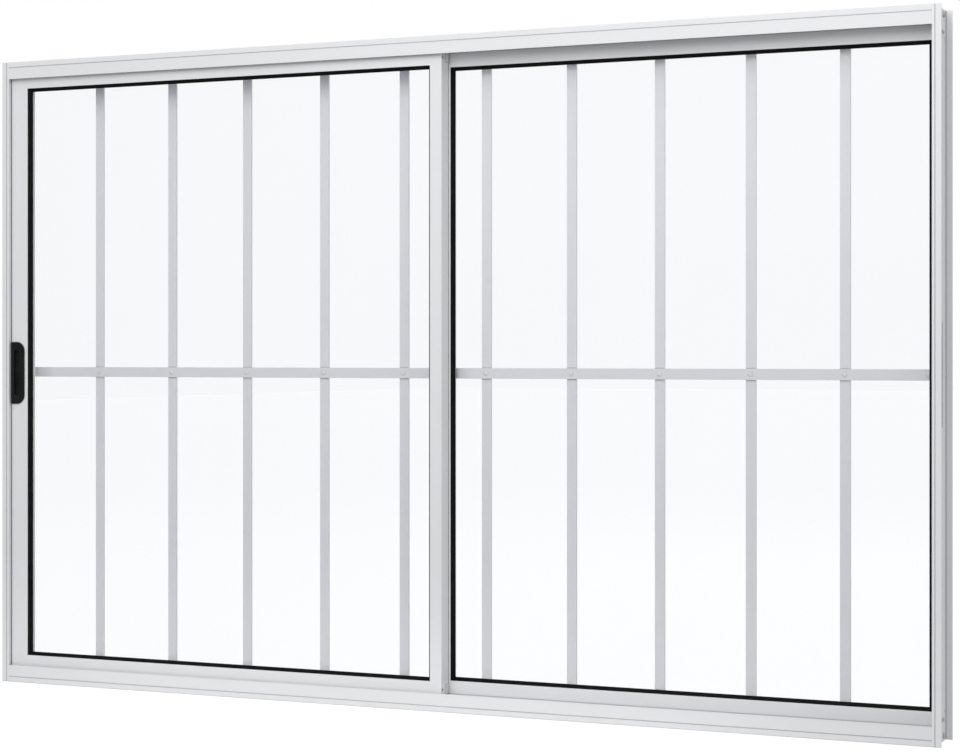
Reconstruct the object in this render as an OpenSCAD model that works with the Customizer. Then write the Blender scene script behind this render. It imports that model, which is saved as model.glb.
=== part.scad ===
// Two-leaf sliding window with a security grille built into its frame.
// The left leaf slides to the right in front of the fixed right leaf. Behind both leaves
// stand flat vertical bars riveted to one horizontal tie bar.
// Window coordinates: x from the left outer edge, y from the front face towards the
// outside, z up from the underside of the sill. placed() moves them to the part's own
// origin, which is bottom centre.

/* [Frame] */
// Overall width
frame_w = 1500; // [1000:10:2400]
// Overall height
frame_h = 984; // [700:2:1600]
// Depth from front face to rear face
frame_d = 70; // [66:0.5:110]
// Extrusion wall
wall = 1.6; // [1.2:0.1:2]
// Depth of the open channel round the outside, which the wall mortar fills
reach = 9; // [8:0.5:14]
// Width of the jamb's face
jamb_face = 12.6; // [12.2:0.1:13]
// Height of the face of the head and of the sill
track_face = 26.5; // [25:0.5:32]
// Top of the rail that the rollers run on, above the web
rail_rise = 7; // [6:0.2:8]
// Height of the leg between the two tracks, above the web
mid_leg = 11.4; // [9:0.2:12]
// Width of the shadow line along the face
groove_w = 1.2; // [0.8:0.1:1.6]
// Depth of the shadow line
groove_t = 0.6; // [0.3:0.1:0.9]

/* [Leaves] */
// Thickness of a leaf
leaf_t = 21; // [20.6:0.1:21.2]
// From the frame's front face to the sliding leaf
leaf_set_back = 9; // [8.4:0.1:9.2]
// Gap between the two leaves
leaf_gap = 3.8; // [3.8:0.1:4.4]
// Face width of the latch stile
stile_w = 29.4; // [28.6:0.2:40]
// Face width of the stiles that meet in the middle
meeting_w = 18.7; // [18:0.1:26]
// Height of a leaf's rail
rail_h = 28; // [27:0.5:40]
// Depth of the glass pocket
pocket = 8; // [7.5:0.1:9]
// Glass thickness
glass_t = 4; // [3:0.5:6]
// How far the glass goes in past the visible edge
glass_bite = 5; // [4:0.1:6]
// Visible width of the gasket, measured in the plane of the glass
gasket_w = 5.8; // [4:0.1:7]
// How far the closed leaf passes the middle of the window
meet_over = 17.3; // [14:0.1:20]
// Room under the fixed leaf, from the underside of the sill
leaf_clear = 13.4; // [13:0.1:14.5]
// How much higher the rollers carry the sliding leaf
roller_lift = 1.2; // [0.8:0.1:1.6]

/* [Grille] */
// Width of a vertical bar
bar_w = 15; // [10:0.5:25]
// Thickness of a vertical bar
bar_t = 3; // [2:0.1:3.4]
// Height of the tie bar
tie_h = 15.5; // [12:0.5:25]
// Thickness of the tie bar
tie_t = 3; // [2:0.1:3.4]
// Radius of a bar rivet's shank
rivet_r = 2; // [1.5:0.1:2.5]
// Radius of a bar rivet's head
rivet_head_r = 3.4; // [3:0.1:4.5]

/* [Rollers] */
// Radius of a wheel at its flanges
wheel_r = 7.4; // [7.2:0.1:7.6]
// Radius at the bottom of the groove
wheel_groove_r = 6.2; // [6:0.1:6.4]
// Width of a wheel
wheel_w = 4.2; // [4:0.1:4.6]
// Radius of an axle
axle_r = 1.5; // [1.2:0.1:1.8]
// Distance from the leaf's end to a wheel
wheel_inset = 75; // [62:1:140]

/* [Latch] */
// Height of the latch plate
latch_h = 98; // [92:1:120]
// Width of the latch plate
latch_w = 24; // [22:0.5:26]
// How far the plate stands off the stile
latch_proud = 2.4; // [1.8:0.1:3]
// Radius of the plate's rounded corners
latch_corner = 14; // [8:0.5:18]
// Travel of the thumb slide
slide_travel = 9; // [7:0.5:10]
// Angle that the hook turns through
hook_angle = 68; // [64:1:72]

/* [Fasteners] */
// Radius of a frame corner screw
screw_r = 2.05; // [1.8:0.05:2.2]
// Radius of a leaf corner screw
leaf_screw_r = 1.7; // [1.5:0.05:1.8]
// Radius of the wall fixing holes
fixing_r = 2.6; // [2:0.1:3.5]
// Distance of a wall fixing hole from the jamb's end
fixing_z = 38.5; // [37:0.5:60]

/* [Hidden] */
$fn = 48;
bar_count = 10;
eps = 0.5;              // how far a cut runs past the surface it opens
fit = 0.05;             // radial clearance of a fixed screw or rivet
run = 0.06;             // radial clearance of a turning part
pad_t = 0.5;            // corner seal pad

// Frame
rail_y = leaf_set_back + leaf_t / 2;
rear_y = leaf_set_back + leaf_t + leaf_gap;
rear_rail_y = rear_y + leaf_t / 2;
rail_neck = 2;
bead_r = 1.4;
rail_z = reach + wall + rail_rise;
mid_y = leaf_set_back + leaf_t + (leaf_gap - wall) / 2;
jamb_in = reach + wall;
port_r = 3.4;
port_y = [16, frame_d - 16];
port_z = reach - 1.8;
port_slit = 1.6;
track_x0 = jamb_in + pad_t;

// Leaves
leaf_h = frame_h - leaf_clear - 15;
sash_z0 = leaf_clear + roller_lift;
sash_x0 = jamb_in + 1.4;
sash_x1 = frame_w / 2 + meet_over;
fixed_x0 = sash_x1 - meeting_w + 2.5;
channel_w = 9.6;
channel_x = frame_w - jamb_in - channel_w;
floor_z = rail_h - pocket;                // top of the glass pocket's floor
leaf_port = [wall + 2.6, floor_z - wall - 2.3];  // screw port centre from a leaf's outer corner
leaf_port_r = 2.7;
leaf_head = [2.4, 2];                     // leaf screw head, radius and height
block_t = pocket - glass_bite;

// Grille
tie_y = rear_y + leaf_t + 0.6;            // the tie bar clears the fixed leaf
bar_y = tie_y + tie_t;
grille_y = bar_y + bar_t;                 // front of the legs that carry the bars
grille_leg = 23;
bar_z = reach + wall + 3.4;
bar_pin_z = 24;
bar_pin_r = 1.6;
bar_pitch = (frame_w - 2 * jamb_in) / (bar_count + 1);
tie_z = frame_h / 2;
rivet_dome = 1.1;
bracket_l = 27;
bracket_pin_x = jamb_in + 19.4;

// Rollers
wheel_z = rail_z + 0.3 + wheel_groove_r;
wheel_groove = 1.7;
wheel_room = wheel_w + 0.6;               // width of the housing's slot for a wheel
housing_w = leaf_t - 2 * (leaf_port[0] + leaf_port_r + 0.1);  // between the screw ports
housing_l = 40;
wheel_x = [sash_x0 + wheel_inset, sash_x1 - wheel_inset];

// Latch
latch_z = frame_h / 2 - 1.5;
latch_x = sash_x0 + 0.2;
plate_y = leaf_set_back - latch_proud;
well = [sash_x0 + 4.2, sash_x0 + 14.8];   // the finger well, left and right
well_h = latch_h / 2 - 13;
well_y = leaf_set_back + 4.8;
shell = 1.2;
pivot_x = sash_x0 + 13;
pivot_r = 1.5;
hook_y = [well_y + shell + 2, well_y + shell + 4.4];
peg_r = 1.3;
peg_arm = slide_travel / 2 / tan(hook_angle / 2);
slot_gap = 0.8;                           // room round the hook in the plates it passes

// Steel strap
strap_w = 20;
strap_l = 140;
strap_t = 1.2;

function bar_x(i) = jamb_in + i * bar_pitch;
function bar_name(i) = str("vertical_bar_", i < 10 ? "0" : "", i);

// ---- Helpers ----

module placed() translate([-frame_w / 2, -frame_d / 2, 0]) children();

module white() color([0.90, 0.91, 0.92]) placed() children();
module grey() color([0.78, 0.79, 0.80]) placed() children();
module black() color([0.07, 0.07, 0.08]) placed() children();
module steel() color([0.62, 0.63, 0.65]) placed() children();
module nylon() color([0.93, 0.92, 0.88]) placed() children();

// A rectangle from one corner to the other
module rect(a, b) translate(a) square(b - a);

// Sections drawn as (y, z), (x, y) and (x, z), made solid along the axis left over
module along_x(x0, x1) translate([x0, 0, 0]) rotate([90, 0, 90]) linear_extrude(x1 - x0) children();
module along_z(z0, z1) translate([0, 0, z0]) linear_extrude(z1 - z0) children();
module along_y(y0, y1) translate([0, y1, 0]) rotate([90, 0, 0]) linear_extrude(y1 - y0) children();

// Round pins and holes along an axis, from a point
module pin_x(p, r, l) translate(p) rotate([0, 90, 0]) cylinder(r = r, h = l);
module pin_y(p, r, l) translate(p) rotate([-90, 0, 0]) cylinder(r = r, h = l);

// The same thing on the right side of the window as on the left
module mirrored_x() translate([frame_w, 0, 0]) mirror([1, 0, 0]) children();

// The same thing at the head as at the sill
module mirrored_z() translate([0, 0, frame_h]) mirror([0, 0, 1]) children();

// A mitred ring of one section, given as [inward, y] points round a rectangle in x and z
module ring(section, x0, z0, x1, z1) {
    n = len(section);
    corners = [[x0, z0, 1, 1], [x1, z0, -1, 1], [x1, z1, -1, -1], [x0, z1, 1, -1]];
    points = [for (c = corners) for (p = section) [c[0] + c[2] * p[0], p[1], c[1] + c[3] * p[0]]];
    faces = [for (k = [0:3]) for (i = [0:n - 1])
        let (j = (i + 1) % n, a = k * n, b = (k + 1) % 4 * n) [a + i, a + j, b + j, b + i]];
    polyhedron(points, faces);
}

// ---- Frame ----

module track_section() {
    difference() {
        union() {
            rect([0, 0], [wall, track_face]);
            rect([frame_d - wall, 0], [frame_d, track_face]);
            rect([0, reach], [frame_d, reach + wall]);
            rect([mid_y, reach], [mid_y + wall, reach + wall + mid_leg]);
            rect([grille_y, reach], [grille_y + wall, reach + wall + grille_leg - wall]);
            for (y = [rail_y, rear_rail_y]) {
                rect([y - rail_neck / 2, reach], [y + rail_neck / 2, rail_z - bead_r]);
                translate([y, rail_z - bead_r]) circle(bead_r);
            }
            for (y = port_y) translate([y, port_z]) circle(port_r);
        }
        for (y = port_y) {
            translate([y, port_z]) circle(screw_r + fit);
            rect([y - port_slit / 2, port_z - port_r - eps], [y + port_slit / 2, port_z]);
        }
        rect([-eps, reach - groove_w], [groove_t, reach]);
    }
}

// Track cut to length, notched round the jambs' flanges, drilled for the bars' rivets
module track() {
    difference() {
        along_x(track_x0, frame_w - track_x0) track_section();
        for (x = [track_x0 - eps, frame_w - jamb_face])
            for (y = [-eps, frame_d - wall])
                translate([x, y, -eps])
                    cube([jamb_face - track_x0 + eps, wall + eps, track_face + 2 * eps]);
        for (i = [1:bar_count])
            pin_y([bar_x(i), grille_y - eps, bar_pin_z], bar_pin_r + fit, wall + 2 * eps);
    }
}

module head_track() white() mirrored_z() track();

module sill_track() {
    drain = [40, 4.4];
    white() difference() {
        track();
        for (x = [frame_w / 4, frame_w * 3 / 4])
            translate([x - drain[0] / 2, frame_d - wall - eps, reach + wall])
                cube([drain[0], wall + 2 * eps, drain[1]]);
    }
}

module jamb_section() {
    difference() {
        union() {
            rect([0, 0], [jamb_face, wall]);
            rect([0, frame_d - wall], [jamb_face, frame_d]);
            rect([reach, 0], [jamb_in, frame_d]);
        }
        rect([reach - groove_w, -eps], [reach, groove_t]);
    }
}

module jamb() {
    difference() {
        along_z(0, frame_h) jamb_section();
        for (z = [fixing_z, frame_h - fixing_z])
            pin_x([reach - eps, fixing_y(), z], fixing_r, wall + 2 * eps);
        for (y = port_y) for (z = [port_z, frame_h - port_z])
            pin_x([reach - eps, y, z], screw_r + fit, wall + 2 * eps);
        pin_x([reach - eps, bracket_y(), tie_z], bar_pin_r + fit, wall + 2 * eps);
        pin_x([reach - eps, frame_d / 2, strap_pin_z()], bar_pin_r + fit, wall + 2 * eps);
    }
}

function fixing_y() = frame_d - wall - 6.9;
function bracket_y() = grille_y + 3;
function strap_pin_z() = frame_h / 2 - strap_l / 2 + 10;

// The slot that the hook passes through, from its pivot: down and up
hook_slot = [-14.5, 3.4];

module hook_way(x0, x1, low, high)
    translate([x0, hook_y[0] - slot_gap, latch_z + low])
        cube([x1 - x0, hook_y[1] - hook_y[0] + 2 * slot_gap, high - low]);

keeper_screw_z = 24;

module left_jamb() {
    white() difference() {
        jamb();
        hook_way(reach - eps, jamb_in + eps, hook_slot[0], hook_slot[1]);
        for (s = [-1, 1])
            pin_x([reach - eps, rail_y, latch_z + s * keeper_screw_z], bar_pin_r + fit, wall + 2 * eps);
    }
}

// Screw places that hold a leaf's rails, from the leaf's lower edge and upper edge
function leaf_screws(z0) = [for (z = [z0 + leaf_port[1], z0 + leaf_h - leaf_port[1]]) z];

module right_jamb() {
    white() difference() {
        mirrored_x() jamb();
        for (z = leaf_screws(leaf_clear)) for (y = [leaf_port[0], leaf_t - leaf_port[0]])
            pin_x([frame_w - jamb_in - eps, rear_y + y, z], leaf_screw_r + fit, wall + 2 * eps);
    }
}

module corner_seal_pads() {
    lip = 0.4;
    module pad() difference() {
        along_x(jamb_in, track_x0)
            rect([wall + lip, 2], [frame_d - wall - lip, leaf_clear - lip]);
        for (y = port_y) pin_x([jamb_in - eps, y, port_z], screw_r + fit, pad_t + 2 * eps);
    }
    black() {
        pad();
        mirrored_x() pad();
        mirrored_z() pad();
        mirrored_x() mirrored_z() pad();
    }
}

// A pan-head screw along +x: the head's outer face is at p, with a cross recess
module screw_x(p, r, l, head_r, head_l) {
    translate(p) difference() {
        union() {
            pin_x([0, 0, 0], head_r, head_l);
            pin_x([head_l, 0, 0], r, l);
        }
        for (a = [0, 90]) rotate([a, 0, 0])
            translate([-eps, -head_r * 0.6, -head_r * 0.12])
                cube([eps + head_l * 0.5, head_r * 1.2, head_r * 0.24]);
    }
}

module frame_corner_screws() {
    head = [3.9, 2.4];
    module pair() for (y = port_y)
        screw_x([reach - head[1], y, port_z], screw_r, 22, head[0], head[1]);
    steel() {
        pair();
        mirrored_x() pair();
        mirrored_z() pair();
        mirrored_x() mirrored_z() pair();
    }
}

// Perforated steel strap folded flat into the jamb's outer channel
module wall_anchor_straps() {
    hole_r = 3;
    module strap() difference() {
        translate([reach - strap_t, frame_d / 2 - strap_w / 2, frame_h / 2 - strap_l / 2])
            cube([strap_t, strap_w, strap_l]);
        pin_x([0, frame_d / 2, strap_pin_z()], bar_pin_r + fit, reach + eps);
        for (k = [1:6])
            pin_x([0, frame_d / 2, strap_pin_z() + k * 20], hole_r, reach + eps);
    }
    steel() {
        strap();
        mirrored_x() strap();
    }
}

// A rivet along +x from p: head, shank through l, and tail, or flush with no tail
module rivet_x(p, l, tail) {
    translate(p) {
        pin_x([-1, 0, 0], bar_pin_r * 1.9, 1);
        pin_x([0, 0, 0], bar_pin_r, l);
        if (tail) pin_x([l, 0, 0], bar_pin_r * 1.4, 1.4);
    }
}

module strap_rivets() {
    module one() rivet_x([reach - strap_t, frame_d / 2, strap_pin_z()], strap_t + wall, false);
    steel() {
        one();
        mirrored_x() one();
    }
}

// Brush strip on the inner side of the track's front leg
module track_pile() {
    backing = [1, 5.8];
    brush_h = 3.2;
    gap = 0.4;
    z = track_face - 0.6 - backing[1];
    along_x(jamb_face + gap, frame_w - jamb_face - gap) {
        rect([wall, z], [wall + backing[0], z + backing[1]]);
        rect([wall + backing[0], z + (backing[1] - brush_h) / 2],
             [leaf_set_back - gap, z + (backing[1] + brush_h) / 2]);
    }
}

module head_pile() color([0.55, 0.56, 0.58]) placed() mirrored_z() track_pile();
module sill_pile() color([0.55, 0.56, 0.58]) placed() track_pile();

// Rubber stops on the right jamb, which end the leaf's travel
stop_l = 8;
module bump_stops() {
    black() for (z = [150, frame_h - 150]) {
        pin_x([frame_w - jamb_in - stop_l + 2, rail_y, z], 6, stop_l - 2);
        pin_x([frame_w - jamb_in - stop_l, rail_y, z], 4.5, 2);
    }
}

keeper = [0.9, 16, 60];
module latch_keeper() {
    steel() difference() {
        translate([jamb_in, rail_y - keeper[1] / 2, latch_z - keeper[2] / 2]) cube(keeper);
        hook_way(reach, jamb_in + 2, hook_slot[0], hook_slot[1]);
        for (s = [-1, 1])
            pin_x([jamb_in - eps, rail_y, latch_z + s * keeper_screw_z], bar_pin_r + fit, 2);
    }
}

// Countersunk screws whose heads stay flush with the keeper, with tails in the jamb's channel
module keeper_screws() {
    tail = 2.4;
    steel() for (s = [-1, 1])
        pin_x([reach - tail, rail_y, latch_z + s * keeper_screw_z], bar_pin_r, tail + wall + keeper[0]);
}

// ---- Leaf parts, drawn for a leaf whose front is at y and whose underside is at z ----

// Rail section, glass pocket upwards
module rail_section() {
    difference() {
        union() {
            rect([0, 0], [wall, rail_h]);
            rect([leaf_t - wall, 0], [leaf_t, rail_h]);
            rect([0, floor_z - wall], [leaf_t, floor_z]);
            for (y = [leaf_port[0], leaf_t - leaf_port[0]])
                translate([y, leaf_port[1]]) circle(leaf_port_r);
        }
        for (y = [leaf_port[0], leaf_t - leaf_port[0]])
            translate([y, leaf_port[1]]) circle(leaf_screw_r + fit);
    }
}

module bottom_rail(x0, x1, y, z) translate([0, y, z]) along_x(x0, x1) rail_section();

module top_rail(x0, x1, y, z)
    translate([0, y, z + leaf_h]) mirror([0, 0, 1]) along_x(x0, x1) rail_section();

// Stile section of width w, from its outer edge at 0, glass pocket to the right
module stile_section(w, depth) {
    floor_x = w - depth;
    rect([0, 0], [w, wall]);
    rect([0, leaf_t - wall], [w, leaf_t]);
    rect([0, 0], [wall, leaf_t]);
    rect([floor_x - wall, 0], [floor_x, leaf_t]);
}

// Slots in the ends of a leaf's upright, w wide, that let it straddle the tracks' rails
module end_slots(w) {
    half = bead_r + 0.7;
    top = rail_z + 1.2;
    for (z = [0, frame_h - top])
        translate([-eps, leaf_t / 2 - half, z]) cube([w + 2 * eps, 2 * half, top]);
}

// Stile with its end slots and the holes that its corner screws need
module stile(w, depth, z) {
    difference() {
        along_z(z, z + leaf_h) stile_section(w, depth);
        end_slots(w);
        for (sz = leaf_screws(z)) for (y = [leaf_port[0], leaf_t - leaf_port[0]]) {
            pin_x([-eps, y, sz], leaf_head[0] + 0.1, wall + 2 * eps);
            pin_x([w - depth - wall - eps, y, sz], leaf_screw_r + fit, wall + 2 * eps);
        }
    }
}

// Corner screws of a stile, from its outer edge
module stile_screws(w, depth, z) {
    for (sz = leaf_screws(z)) for (y = [leaf_port[0], leaf_t - leaf_port[0]])
        screw_x([w - depth - wall - leaf_head[1], y, sz], leaf_screw_r, depth + wall + 12,
                leaf_head[0], leaf_head[1]);
}

latch_depth = 11;
meeting_depth = 8.6;

module glass_pane(x0, x1, y, z0, z1)
    translate([x0 - glass_bite, y + (leaf_t - glass_t) / 2, z0 - glass_bite])
        cube([x1 - x0 + 2 * glass_bite, glass_t, z1 - z0 + 2 * glass_bite]);

// Wedge gaskets in front of and behind the glass
module gaskets(x0, x1, y, z0, z1) {
    skin = 0.1;
    glass_y = (leaf_t - glass_t) / 2 - skin;
    section = [[-glass_bite, wall + skin], [0.3, wall + skin], [gasket_w, glass_y - 0.9],
               [gasket_w, glass_y], [-glass_bite, glass_y]];
    back = [for (i = [len(section) - 1:-1:0]) [section[i][0], leaf_t - section[i][1]]];
    translate([0, y, 0]) {
        ring(section, x0, z0, x1, z1);
        ring(back, x0, z0, x1, z1);
    }
}

module setting_blocks(x0, x1, y, z) {
    size = [50, 13];
    for (x = [x0 + (x1 - x0) / 4, x1 - (x1 - x0) / 4])
        translate([x - size[0] / 2, y + (leaf_t - size[1]) / 2, z + floor_z])
            cube([size[0], size[1], block_t]);
}

// Inner edges of each leaf's frame: left, right
sash_edges = [sash_x0 + stile_w, sash_x1 - meeting_w];
fixed_edges = [fixed_x0 + meeting_w, channel_x];

// ---- Fixed leaf ----

module fixed_top_rail() white() top_rail(fixed_edges[0], fixed_edges[1], rear_y, leaf_clear);
module fixed_bottom_rail() white() bottom_rail(fixed_edges[0], fixed_edges[1], rear_y, leaf_clear);

// The interlock's two lips, one on each meeting stile
lip_t = 0.8;
lip_z = [reach + wall + mid_leg + 1.2, frame_h - reach - wall - mid_leg - 1.2];
fixed_lip = [fixed_x0 + 3.9, fixed_x0 + 10.9];

module fixed_meeting_stile() {
    lip_y = leaf_set_back + leaf_t + 0.7;
    white() {
        translate([fixed_x0, rear_y, 0]) stile(meeting_w, meeting_depth, leaf_clear);
        along_z(lip_z[0], lip_z[1]) {
            rect([fixed_lip[0], lip_y], [fixed_lip[0] + lip_t, rear_y]);
            rect([fixed_lip[0], lip_y], [fixed_lip[1], lip_y + lip_t]);
        }
    }
}

module fixed_side_channel() {
    white() difference() {
        translate([channel_x, rear_y, 0]) along_z(leaf_clear, leaf_clear + leaf_h) {
            rect([0, 0], [channel_w, wall]);
            rect([0, leaf_t - wall], [channel_w, leaf_t]);
            rect([channel_w - wall, 0], [channel_w, leaf_t]);
        }
        translate([channel_x, rear_y, 0]) end_slots(channel_w);
        for (z = leaf_screws(leaf_clear)) for (y = [leaf_port[0], leaf_t - leaf_port[0]])
            pin_x([channel_x, rear_y + y, z], leaf_screw_r + fit, channel_w + eps);
    }
}

fixed_z = [leaf_clear + rail_h, leaf_clear + leaf_h - rail_h];
sash_z = [sash_z0 + rail_h, sash_z0 + leaf_h - rail_h];

module fixed_glass()
    color([0.86, 0.93, 0.96, 0.35]) placed()
        glass_pane(fixed_edges[0], fixed_edges[1], rear_y, fixed_z[0], fixed_z[1]);

module fixed_gaskets() black() gaskets(fixed_edges[0], fixed_edges[1], rear_y, fixed_z[0], fixed_z[1]);
module fixed_setting_blocks() black() setting_blocks(fixed_edges[0], fixed_edges[1], rear_y, leaf_clear);

module fixed_leaf_screws() {
    steel() {
        translate([fixed_x0, rear_y, 0]) stile_screws(meeting_w, meeting_depth, leaf_clear);
        mirrored_x() for (z = leaf_screws(leaf_clear))
            for (y = [leaf_port[0], leaf_t - leaf_port[0]])
                screw_x([reach - leaf_head[1], rear_y + y, z], leaf_screw_r, channel_w + wall + 12,
                        leaf_head[0], leaf_head[1]);
    }
}

// A nylon block that fills a rail's hollow and straddles the track's rail, in (y, z)
module saddle(x, l, y, z0, z1, slot_top) {
    slot = bead_r + 0.5;
    along_x(x - l / 2, x + l / 2) difference() {
        rect([y - leaf_t / 2 + wall, z0], [y + leaf_t / 2 - wall, z1]);
        rect([y - slot, z0 - eps], [y + slot, slot_top]);
    }
}

module fixed_leaf_packers() {
    l = 40;
    inset = 70;
    under = leaf_clear + leaf_port[1] - leaf_port_r;
    over = frame_h - leaf_clear - leaf_h + leaf_port[1] - leaf_port_r;
    nylon() for (x = [fixed_edges[0] + inset, fixed_edges[1] - inset]) {
        saddle(x, l, rear_rail_y, reach + wall, under, rail_z + 1);
        mirrored_z() saddle(x, l, rear_rail_y, reach + wall, over, rail_z + 1);
    }
}

module interlock_pile() {
    color([0.55, 0.56, 0.58]) placed() along_z(lip_z[0], lip_z[1])
        rect([fixed_lip[0] + 3, rear_y - 0.8], [fixed_lip[0] + 8, rear_y]);
}

// ---- Grille ----

module vertical_bar(i) {
    grey() difference() {
        along_y(bar_y, bar_y + bar_t)
            rect([bar_x(i) - bar_w / 2, bar_z], [bar_x(i) + bar_w / 2, frame_h - bar_z]);
        pin_y([bar_x(i), bar_y - eps, tie_z], rivet_r + fit, bar_t + 2 * eps);
        for (z = [bar_pin_z, frame_h - bar_pin_z])
            pin_y([bar_x(i), bar_y - eps, z], bar_pin_r + fit, bar_t + 2 * eps);
    }
}

tie_x0 = jamb_in + 2;
tie_holes = concat([for (i = [1:bar_count]) bar_x(i)], [bracket_pin_x, frame_w - bracket_pin_x]);

module tie_bar() {
    grey() difference() {
        along_y(tie_y, bar_y)
            rect([tie_x0, tie_z - tie_h / 2], [frame_w - tie_x0, tie_z + tie_h / 2]);
        for (x = tie_holes) pin_y([x, tie_y - eps, tie_z], rivet_r + fit, tie_t + 2 * eps);
    }
}

module tie_bar_brackets() {
    leg = 1.6;
    module bracket() difference() {
        along_z(tie_z - tie_h / 2 + 1, tie_z + tie_h / 2 - 1) {
            rect([jamb_in, bar_y], [jamb_in + bracket_l, bar_y + leg]);
            rect([jamb_in, bar_y], [jamb_in + leg, frame_d - wall - 0.6]);
        }
        pin_y([bracket_pin_x, bar_y - eps, tie_z], rivet_r + fit, leg + 2 * eps);
        pin_x([jamb_in - eps, bracket_y(), tie_z], bar_pin_r + fit, leg + 2 * eps);
    }
    grey() {
        bracket();
        mirrored_x() bracket();
    }
}

// A solid rivet along +y: low domed head at p, shank l, formed tail
module rivet_y(p, l) {
    sphere_r = (rivet_head_r * rivet_head_r + rivet_dome * rivet_dome) / 2 / rivet_dome;
    translate(p) rotate([-90, 0, 0]) {
        intersection() {
            translate([0, 0, sphere_r - rivet_dome]) sphere(sphere_r);
            translate([0, 0, -rivet_dome]) cylinder(r = rivet_head_r, h = rivet_dome);
        }
        cylinder(r = rivet_r, h = l);
        translate([0, 0, l]) cylinder(r = rivet_r * 1.5, h = 0.9);
    }
}

module bar_rivets() {
    leg = 1.6;
    grey() {
        for (i = [1:bar_count]) rivet_y([bar_x(i), tie_y, tie_z], tie_t + bar_t);
        for (x = [bracket_pin_x, frame_w - bracket_pin_x]) rivet_y([x, tie_y, tie_z], tie_t + leg);
        rivet_x([reach, bracket_y(), tie_z], wall + leg, true);
        mirrored_x() rivet_x([reach, bracket_y(), tie_z], wall + leg, true);
    }
}

module bar_end_rivets() {
    head = [3.1, 1];
    grey() for (i = [1:bar_count]) for (z = [bar_pin_z, frame_h - bar_pin_z]) {
        pin_y([bar_x(i), bar_y - head[1], z], head[0], head[1]);
        pin_y([bar_x(i), bar_y, z], bar_pin_r, bar_t + wall);
        pin_y([bar_x(i), grille_y + wall, z], bar_pin_r * 1.4, 1.4);
    }
}

// ---- Sliding leaf ----

module sash_top_rail() white() top_rail(sash_edges[0], sash_edges[1], leaf_set_back, sash_z0);
module sash_bottom_rail() white() bottom_rail(sash_edges[0], sash_edges[1], leaf_set_back, sash_z0);

module sash_latch_stile() {
    cut = 0.2;
    white() difference() {
        translate([sash_x0, leaf_set_back, 0]) stile(stile_w, latch_depth, sash_z0);
        translate([well[0] - shell - cut, leaf_set_back - eps, latch_z - well_h - shell - cut])
            cube([well[1] - well[0] + 2 * (shell + cut), wall + 2 * eps, 2 * (well_h + shell + cut)]);
        hook_way(sash_x0 - eps, sash_x0 + wall + eps, hook_slot[0] - 4, hook_slot[1] + 1);
        for (s = [-1, 1])
            pin_y([latch_screw_x, leaf_set_back - eps, latch_z + s * latch_screw_z],
                  bar_pin_r + fit, wall + 2 * eps);
    }
}

module sash_meeting_stile() {
    lip_y = leaf_set_back + leaf_t + 1.8;
    white() {
        translate([sash_x1, leaf_set_back, 0]) mirror([1, 0, 0])
            stile(meeting_w, meeting_depth, sash_z0);
        along_z(lip_z[0], lip_z[1]) {
            rect([sash_x1 - lip_t, leaf_set_back + leaf_t], [sash_x1, lip_y + lip_t]);
            rect([fixed_lip[0] + 3.3, lip_y], [sash_x1, lip_y + lip_t]);
        }
    }
}

module sash_glass()
    color([0.86, 0.93, 0.96, 0.35]) placed()
        glass_pane(sash_edges[0], sash_edges[1], leaf_set_back, sash_z[0], sash_z[1]);

module sash_gaskets() black() gaskets(sash_edges[0], sash_edges[1], leaf_set_back, sash_z[0], sash_z[1]);
module sash_setting_blocks() black() setting_blocks(sash_edges[0], sash_edges[1], leaf_set_back, sash_z0);

module sash_corner_screws() {
    steel() {
        translate([sash_x0, leaf_set_back, 0]) stile_screws(stile_w, latch_depth, sash_z0);
        translate([sash_x1, leaf_set_back, 0]) mirror([1, 0, 0])
            stile_screws(meeting_w, meeting_depth, sash_z0);
    }
}

module sash_top_guides() {
    l = 30;
    inset = 24;
    top = frame_h - sash_z0 - leaf_h;
    nylon() mirrored_z() for (x = [sash_edges[0] + inset, sash_edges[1] - inset])
        saddle(x, l, rail_y, top, top + leaf_port[1] - leaf_port_r, rail_z + 1);
}

// Plugs in the ends of the meeting stile, each with a tongue that closes the gap beside it
module sash_stile_caps() {
    plug = [rail_z + 1.2 - sash_z0, 8];      // from the stile's end, where it starts and ends
    tongue = [2, 8, 13];
    inner = [sash_x1 - meeting_w + meeting_depth + wall, sash_x1 - wall];
    module cap(z, tongue_z) {
        translate([inner[0], leaf_set_back + wall, z])
            cube([inner[1] - inner[0], leaf_t - 2 * wall, plug[1] - plug[0]]);
        translate([sash_x1, leaf_set_back + leaf_t - tongue[1], tongue_z]) cube(tongue);
    }
    nylon() {
        cap(sash_z0 + plug[0], sash_z0 + 9);
        cap(sash_z0 + leaf_h - plug[1], sash_z0 + leaf_h - 9 - tongue[2]);
    }
}

module roller_housings() {
    low = 3.4;
    nylon() for (x = wheel_x) difference() {
        translate([x - housing_l / 2, rail_y - housing_w / 2, wheel_z - low])
            cube([housing_l, housing_w, sash_z0 + floor_z - wall - wheel_z + low]);
        pin_y([x, rail_y - wheel_room / 2, wheel_z], wheel_r + 0.8, wheel_room);
        pin_y([x, rail_y - housing_w, wheel_z], axle_r + fit / 2, 2 * housing_w);
    }
}

module roller_axles() {
    steel() for (x = wheel_x) pin_y([x, rail_y - housing_w / 2, wheel_z], axle_r, housing_w);
}

module roller_wheel(x) {
    nylon() translate([x, rail_y, wheel_z]) rotate([90, 0, 0]) difference() {
        rotate_extrude() difference() {
            rect([0, -wheel_w / 2], [wheel_r, wheel_w / 2]);
            translate([wheel_groove_r + wheel_groove, 0]) circle(wheel_groove);
        }
        translate([0, 0, -wheel_w]) cylinder(r = axle_r + run, h = 2 * wheel_w);
    }
}

module roller_wheel_left() roller_wheel(wheel_x[0]);
module roller_wheel_right() roller_wheel(wheel_x[1]);

// ---- Latch ----

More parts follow.
